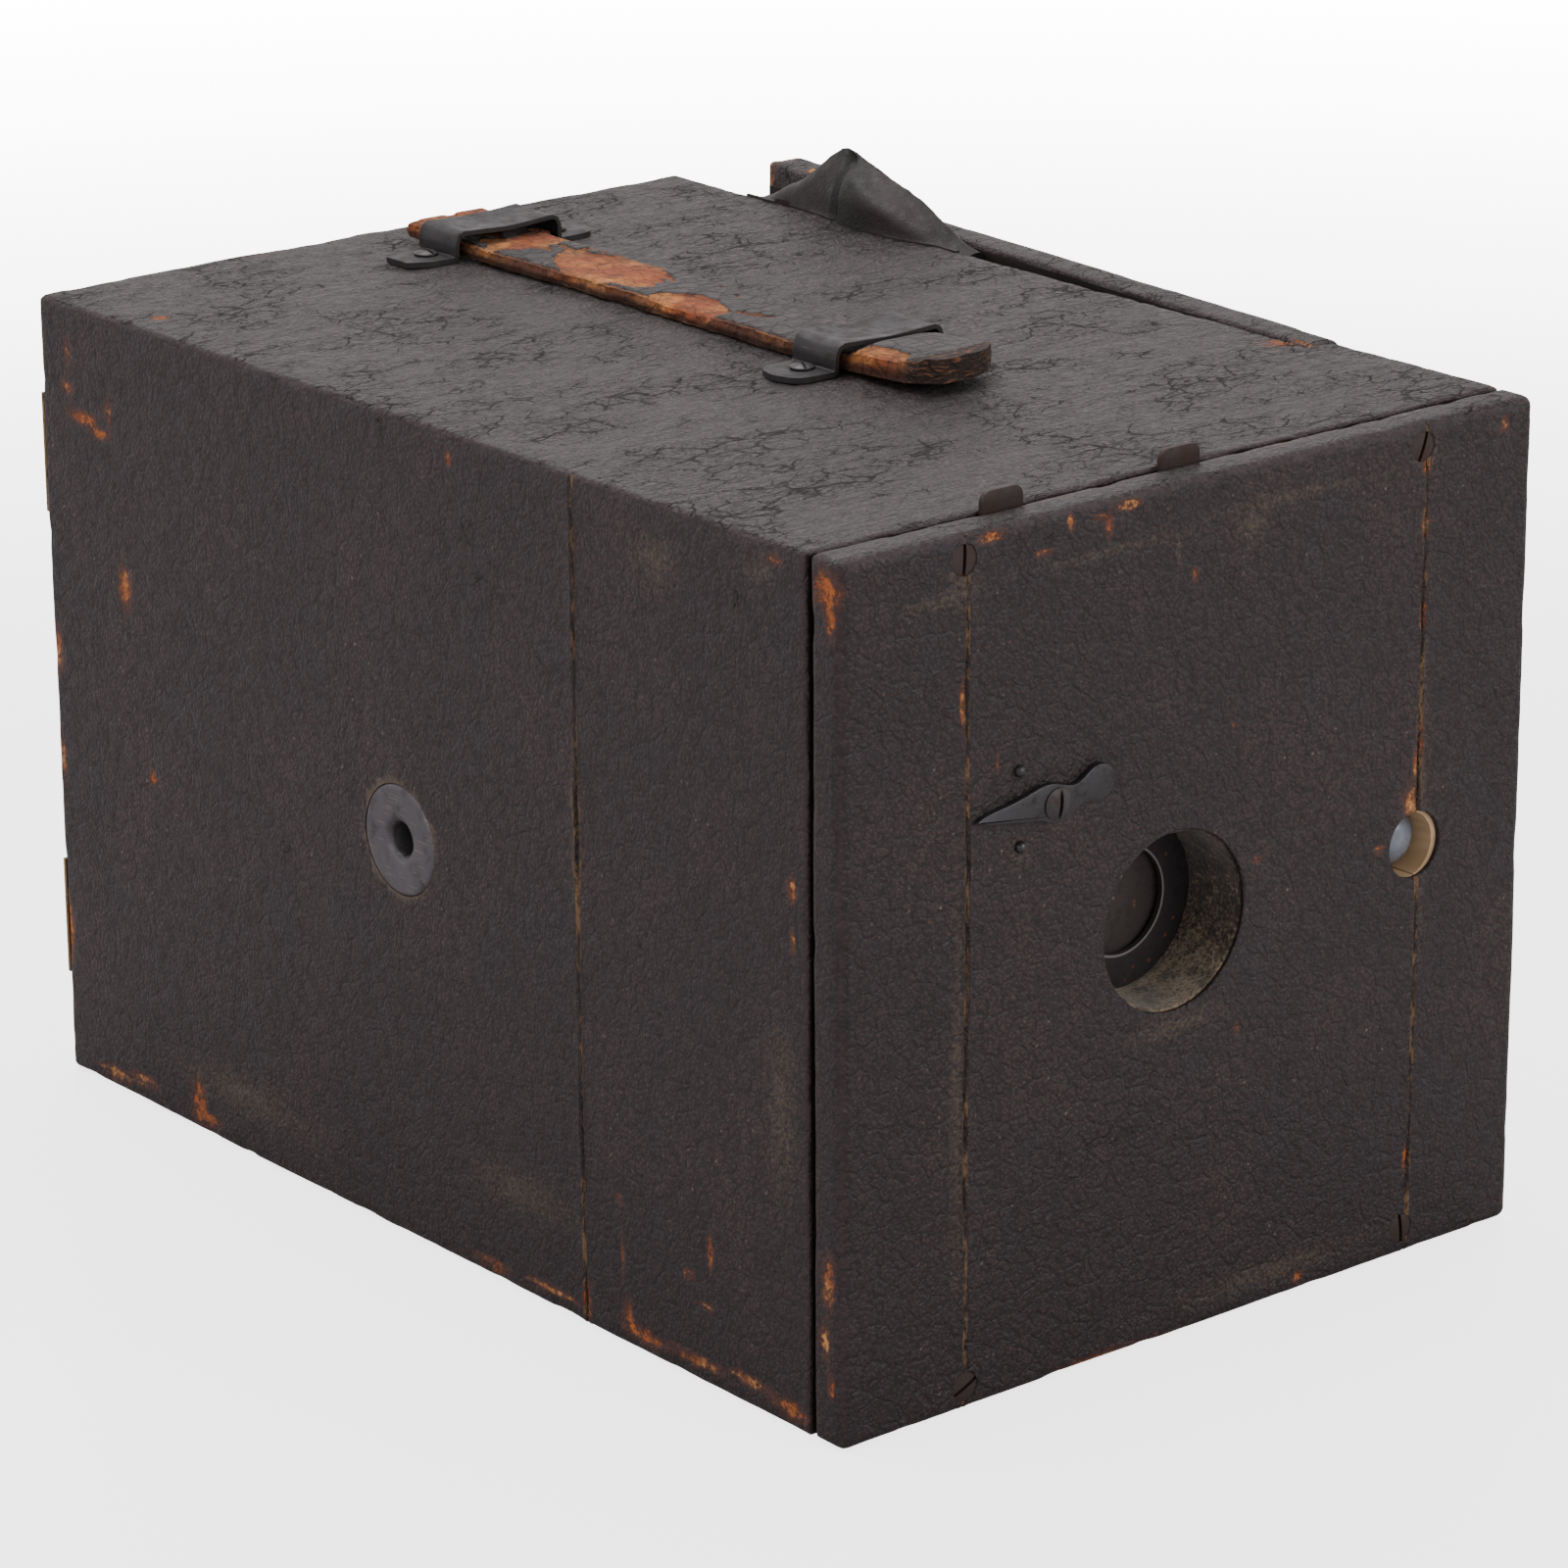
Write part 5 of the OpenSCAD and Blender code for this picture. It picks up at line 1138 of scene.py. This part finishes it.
strap_r = strap_low.y, strap_high.y + 3 * MM
width = strap_high.x - strap_low.x
bm = grid_box([ruled(-width / 2, width / 2, 0.6 * MM, *near(-width / 2, 0.2), *near(width / 2, 0.2)),
               ruled(strap_r[0], strap_r[1], 0.6 * MM), ruled(0, 1, 0.16)])
points = places_of(bm)
u, v, layer = points[:, 0].copy(), points[:, 1].copy(), points[:, 2].copy()
front_loop, rear_loop = loop_ys
along = np.column_stack([u * 0 + 0.3, v, v * 0])
in_front = step(v, front_loop - 5 * MM, front_loop - 9 * MM)
thick = 3.0 + 0.35 * uneven(along, 16 * MM, 51) + 1.5 * in_front
under = np.interp(v, [strap_r[0], front_loop - 14 * MM, front_loop, front_loop + 9 * MM, 0,
                      rear_loop - 14 * MM, rear_loop, strap_r[1]],
                  np.array([1.9, 1.0, 0.35, 0.15, 0.1, 0.15, 0.5, 1.1]))
side = np.sign(u)
ragged_side = 0.55 * uneven(np.column_stack([side * 9 * MM, v, layer * 1.5 * MM]), 5 * MM, 52)
ragged_side += 0.4 * uneven(np.column_stack([side * 9 * MM, v, layer * 2.5 * MM]), 1.6 * MM, 53)
narrow = 1 - 0.05 * step(np.abs(v - 40 * MM), 45 * MM, 10 * MM)
reach = np.abs(u) / (width / 2)
u = u * narrow + side * step(reach, 0.55, 1) * (ragged_side - 0.6) * MM * (1 - 0.5 * in_front)
end_gap = v - strap_r[0]
corner_cut = 3.6 * MM * step(reach, 0.45, 1.05) + 0.9 * MM * uneven(
    np.column_stack([u, u * 0, layer * 2 * MM]), 3 * MM, 54)
slant = 2.4 * MM * (u / width + 0.5)
v = v + step(end_gap, 9 * MM, 0) * (corner_cut + slant)
flat_uv = np.column_stack([u, v, u * 0])
flake = 0.55 * uneven(flat_uv * np.array([1.3, 0.7, 1]), 7 * MM, 55) + 0.35 * uneven(flat_uv, 2.6 * MM, 56)
middle_bare = np.linalg.norm((flat_uv / MM - np.array((-1, 52, 0))) / np.array((7.5, 17, 1)), axis=1)
red_bare = np.linalg.norm((flat_uv / MM - np.array((-7, 22, 0))) / np.array((6, 10, 1)), axis=1)
rear_bare = np.linalg.norm((flat_uv / MM - np.array((3, 82, 0))) / np.array((12, 4, 1)), axis=1)
front_bare = np.linalg.norm((flat_uv / MM - np.array((-9, -37, 0))) / np.array((3, 8, 1)), axis=1)
bare = np.minimum(np.minimum(middle_bare, red_bare), np.minimum(rear_bare, front_bare))
flake = flake + 0.14 + 0.9 * step(bare, 0.75, 1.25) - 0.75
flake -= 1.1 * step(u, 0.3 * width, 0.46 * width) * step(np.abs(v - 50 * MM), 36 * MM, 26 * MM)
flake += 0.42 * step(v, 12 * MM, -6 * MM) + 0.25 * step(np.abs(v - 40 * MM), 9 * MM, 0)
skin_on = step(flake, -0.04, 0.08)
wrinkle = uneven(flat_uv * np.array([0.5, 1.6, 1]), 3.4 * MM, 57)
z_top = thick - 0.45 + 0.45 * skin_on + 0.12 * wrinkle - 0.5 * step(reach, 0.82, 1.0)
z_top += 0.5 * in_front * step(reach, 1, 0.3) * step(end_gap, 0, 6 * MM)
groove = 0.35 * uneven(np.column_stack([u * 0, v, layer * 9 * MM]), 3 * MM, 58)
crown = np.where(layer > 0.99, 1, layer)
height = under + z_top * crown
edge_in = step(np.abs(layer - 0.5), 0.0, 0.42)
u -= side * step(reach, 0.9, 1) * (0.35 * groove + 0.3 * edge_in) * MM
points = np.column_stack([strap_mid + u, v, body_top + 0.15 * MM + height * MM])
move_to(bm, points)
bmesh.ops.recalc_face_normals(bm, faces=bm.faces)

perished, tree, shader, place = new_material("perished_strap")
on, depth_in = stored(tree, "skin_on"), stored(tree, "raw")
fibres = grain(tree, stretched(tree, place, (1.0, 0.22, 1.0)), 1500.0, 5.0, 0.7)
clouds = grain(tree, place, 190.0, 4.0, 0.6)
left_on = use(tree, ragged, Place=place, Field=on, Level=0.5, Rim=0.12, Break=0.9, Size=900.0)[0]
split = use(tree, cracks, Place=place, Net=260.0, Spread=0.62, Width=0.12)[0]
split = times(tree, split, ramp(tree, left_on, 0, 1, 0.45, 1.0))
orange = blend(tree, ramp(tree, grain(tree, place, 75.0, 3.0), 0.42, 0.6), (0.3, 0.07, 0.016),
               (0.58, 0.22, 0.055))
orange = blend(tree, ramp(tree, clouds, 0.5, 0.75, 0.0, 0.8), orange, (0.15, 0.035, 0.012))
orange = blend(tree, ramp(tree, fibres, 0.42, 0.7, 0.0, 0.75), orange, (0.06, 0.02, 0.01))
orange = blend(tree, depth_in, (0.035, 0.016, 0.01), orange)
black = blend(tree, ramp(tree, clouds, 0.42, 0.68), (0.012, 0.009, 0.009), (0.042, 0.031, 0.028))
black = blend(tree, ramp(tree, fibres, 0.56, 0.72, 0.0, 0.7), black, (0.12, 0.1, 0.085))
colour = blend(tree, left_on, orange, black)
layers = grain(tree, stretched(tree, place, (0.12, 0.2, 1.0)), 2600.0, 3.0, 0.65)
layered = blend(tree, ramp(tree, layers, 0.5, 0.68), (0.012, 0.008, 0.007), (0.2, 0.085, 0.035))
colour = blend(tree, times(tree, stored(tree, "frayed"), 0.8), colour, layered)
colour = blend(tree, times(tree, split, 0.92), colour, (0.01, 0.005, 0.004))
height = plus(tree, times(tree, left_on, 1.5), times(tree, fibres, 1.0))
height = plus(tree, height, times(tree, stored(tree, "frayed"), layers))
height = minus(tree, height, times(tree, split, 1.2))
wire(tree, shader, {"Base Color": colour, "Roughness": ramp(tree, left_on, 0, 1, 0.75, 0.5),
                    "Specular IOR Level": 0.35, "Normal": raised(tree, height, 0.25 * MM)})
torn_strap = piece("torn_strap", bm, "camera_body", perished, "strap_leather", "strap", crease=60)
raw = step(middle_bare, 1.5, 0.4) + 0.75 * step(red_bare, 1.5, 0.5) + 0.6 * step(rear_bare, 1.4, 0.5)
raw += 0.75 * step(front_bare, 1.5, 0.4) + 0.5 * step(v, 98 * MM, 103 * MM)
low_edge = step(layer, 0.8, 0.3) * (reach > 0.85)
frayed = step(end_gap, 7 * MM, 2 * MM)
skin_left = np.where(reach > 0.93, 0.3, skin_on) * step(v, 103 * MM, 99 * MM) * (1 - 0.62 * frayed)
paint(torn_strap, skin_on=skin_left,
      raw=np.clip((raw + 0.26 - 0.15 * in_front) * (1 - 0.85 * low_edge) * (1 - 0.8 * frayed), 0, 1),
      frayed=frayed)

# ---------------------------------------------------------------- changing bag
# Black glove-leather sleeve folded away under the lid. It has swollen, so a fold stands up out
# of the gap in a soft peak and holds the lid ajar.

bag_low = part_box("changing_bag")[0]
peak_y = 71 * MM


def fold_height(y):
    """Height of the fold's crest over the top at y, in millimetres."""
    return np.interp(y, np.array([30, 36, 43, 47, 52, 58, 64, 67.5, 70, 71, 72.5, 76, 80, 83, 88, 95]) * MM,
                     [-1, 0.8, 4.0, 6.0, 7.8, 9.3, 11.2, 12.2, 12.9, 13.1, 12.7, 10.5, 7.6, 5.2, 3.0, -1])


bm = bmesh.new()
bmesh.ops.create_grid(bm, x_segments=90, y_segments=44, size=0.5)
points = places_of(bm)
share = points[:, 0] + 0.5
round_it = points[:, 1] + 0.5
y = (30 + 66 * share) * MM
crest = fold_height(y)
lip = 2.6 * step(np.abs(y - 54 * MM), 20 * MM, 4 * MM)
across = np.cos(math.pi * round_it)
pinch = step(np.abs(y - peak_y), 14 * MM, 0)
near_x = lid_wall_x - (1.2 + lip * 1.1) * MM
far_x = lid_wall_x + (7.2 + 0.09 * np.maximum(0, y / MM - 40)) * MM
crest_x = lid_wall_x + (4.8 + 0.02 * (y / MM - 60)) * MM
x = np.where(across > 0, crest_x + (near_x - crest_x) * np.maximum(across, 0) ** (1.1 + 0.5 * pinch),
             crest_x + (far_x - crest_x) * np.maximum(-across, 0) ** 0.9)
rise = np.sin(math.pi * round_it) ** (0.85 + 0.35 * pinch)
z = crest * rise - 5.5 * (1 - rise) * (0.35 + 0.65 * (across < 0))
bulge = 1.5 * step(across, 0.35, 0.8) * step(across, 1.0, 0.85) * step(np.abs(y - 56 * MM), 22 * MM, 6 * MM)
z += bulge
x = x - bulge * 0.6 * MM
fold = np.column_stack([x, y, body_top + z * MM])
crease_y = (69.5 - 3.5 * across) * MM
valley = step(np.abs(y - crease_y), 1.9 * MM, 0) * step(across, 0.05, 0.3)
fold[:, 0] += (1.3 * valley + 0.5 * uneven(fold, 8 * MM, 61)) * MM
fold[:, 2] += (-0.7 * valley + 0.45 * uneven(fold * np.array([1, 0.6, 1]), 5 * MM, 62)) * MM
fold[:, 2] += 0.2 * uneven(fold, 2.2 * MM, 63) * MM
fold[:, 2] = np.maximum(fold[:, 2], np.where(fold[:, 0] < lid_wall_x - 0.4 * MM, body_top + 0.25 * MM, 0))
move_to(bm, fold)
bmesh.ops.recalc_face_normals(bm, faces=bm.faces)
if sum(f.normal.z for f in bm.faces) < 0:
    bmesh.ops.reverse_faces(bm, faces=bm.faces)
bmesh.ops.solidify(bm, geom=list(bm.faces), thickness=0.7 * MM)
packed = grid_box([ruled(bag_low.x + MM, lid_wall_x + 0.2 * MM, 2 * MM), ruled(
    gate_high.y + MM, guide_high.y - MM, 2 * MM), ruled(mouth_z + MM, body_top - mouth_z - MM, 2 * MM)])
points = places_of(packed)
folds = uneven(points * np.array([1, 1, 0.15]), 7 * MM, 64)
folds = folds + 0.6 * uneven(points * np.array([1, 1, 0.5]), 4 * MM, 65)
bulging = points[:, 0] > lid_wall_x - MM
points[:, 0] += np.where(bulging, (1.0 * folds - 1.2) * MM, 0)
move_to(packed, points)
outer_low = lid_wall_x + 0.3 * MM, 45 * MM, body_top - 62 * MM
outer_high = lid_wall_x + 3.6 * MM, 88 * MM, body_top + 0.3 * MM
outer = grid_box([ruled(*ends, pitch * MM) for *ends, pitch in zip(outer_low, outer_high, (1.1, 1.4, 1.6))])
points = rounded(places_of(outer), outer_low, outer_high, 1.6 * MM)[0]
folds = uneven(points * np.array([1, 1, 0.2]), 6 * MM, 66)
points[:, 0] += 0.5 * folds * MM * (points[:, 0] > lid_wall_x + 2 * MM)
points[:, 1] += 1.2 * uneven(points * np.array([0, 0, 1]), 12 * MM, 67) * MM
move_to(outer, points)

soft_black, tree, shader, place = new_material("glove_leather")
small = grain(tree, place, 500.0, 5.0, 0.65)
wide = grain(tree, place, 60.0, 3.0, 0.55)
skin = use(tree, pebbles, Place=place, Grain=1500.0)
colour = blend(tree, ramp(tree, wide, 0.4, 0.7), (0.012, 0.0095, 0.0095), (0.026, 0.019, 0.018))
colour = blend(tree, ramp(tree, small, 0.55, 0.8, 0.0, 0.6), colour, (0.05, 0.042, 0.038))
height = plus(tree, times(tree, skin["Height"], 0.5), small)
wire(tree, shader, {"Base Color": colour, "Roughness": ramp(tree, small, 0.3, 0.7, 0.5, 0.66),
                    "Specular IOR Level": 0.3, "Normal": raised(tree, height, 0.1 * MM)})
piece("bag_folds", join([bm, packed, outer]), "camera_body", soft_black, "bag_leather",
                  "changing_bag", crease=70)

# ---------------------------------------------------------------- leather washers
# Small washers cut from sole leather, between the panel and the body.
washer, tree, shader, place = new_material("sole_leather")
wire(tree, shader, {"Base Color": blend(tree, grain(tree, place, 900.0, 4.0), (0.12, 0.055, 0.025),
                                        (0.05, 0.025, 0.012)),
                    "Roughness": ramp(tree, grain(tree, place, 500.0), 0.3, 0.7, 0.7, 0.9)})
dress(washer, "panel_washers")

# ---------------------------------------------------------------- studio
# White table in soft light from above, from both sides and from behind, seen from the front
# left and a little above.
table = bmesh.new()
bmesh.ops.create_grid(table, x_segments=1, y_segments=1, size=6)
bmesh.ops.translate(table, verts=table.verts, vec=(0, 0, -0.2 * MM))
mesh = bpy.data.meshes.new("table_top")
table.to_mesh(mesh)
table.free()
table_top = bpy.data.objects.new("table_top", mesh)
bpy.context.scene.collection.objects.link(table_top)
white, tree, shader, place = new_material("white_table")
seen = shade(tree, "LightPath").outputs["Is Camera Ray"]
far_off = shade(tree, "VectorMath", {0: place}, operation="LENGTH").outputs["Value"]
glow = times(tree, seen, ramp(tree, far_off, 0.3, 3.2, 2.8, 60.0))
wire(tree, shader, {"Base Color": blend(tree, seen, (0.55, 0.51, 0.52), (0.8, 0.8, 0.8)), "Roughness": ramp(
    tree, grain(tree, place, 9.0), 0.3, 0.7, 0.2, 0.26), "Specular IOR Level": 0.45,
    "Emission Color": (1, 0.97, 0.985, 1), "Emission Strength": glow})
table_top.data.materials.append(white)


def soft_light(name, place, aim, size, power):
    """Square soft light that faces a point."""
    lamp = bpy.data.lights.new(name, "AREA")
    lamp.size, lamp.energy = size, power
    holder = bpy.data.objects.new(name, lamp)
    bpy.context.scene.collection.objects.link(holder)
    holder.location = place
    holder.rotation_euler = (Vector(aim) - Vector(place)).to_track_quat("-Z", "Y").to_euler()


middle = (0, 0, 0.08)
soft_light("overhead", (0.1, 0.5, 1.6), middle, 1.3, 25)
soft_light("left_side", (-1.6, 0.1, 0.8), middle, 1.0, 4.5)
soft_light("right_front", (0.7, -1.6, 0.9), middle, 1.0, 11.5)

sky = bpy.data.worlds.new("white_room")
bpy.context.scene.world = sky
sky.use_nodes = True
tree = sky.node_tree
background = tree.nodes["Background"]
up = shade(tree, "SeparateXYZ", {0: shade(tree, "TexCoord").outputs["Generated"]}).outputs["Z"]
seen = shade(tree, "LightPath").outputs["Is Camera Ray"]
white_wall = sums(tree, "MAXIMUM", ramp(tree, up, 0.3, 0.75, 1.3, 0.4), times(tree, seen, 60.0))
wire(tree, background, {"Color": blend(tree, seen, (1, 0.94, 0.955), (1, 0.99, 0.995)),
                        "Strength": white_wall})

lens = bpy.data.cameras.new("viewpoint")
lens.lens, lens.sensor_width = 137.97, 36
viewpoint = bpy.data.objects.new("viewpoint", lens)
viewpoint.location = (-0.6866, -0.8462, 0.4403)
viewpoint.rotation_euler = (math.radians(71.37), math.radians(0.37), math.radians(-39.39))
bpy.context.scene.collection.objects.link(viewpoint)
bpy.context.scene.camera = viewpoint
lens.clip_end = 50
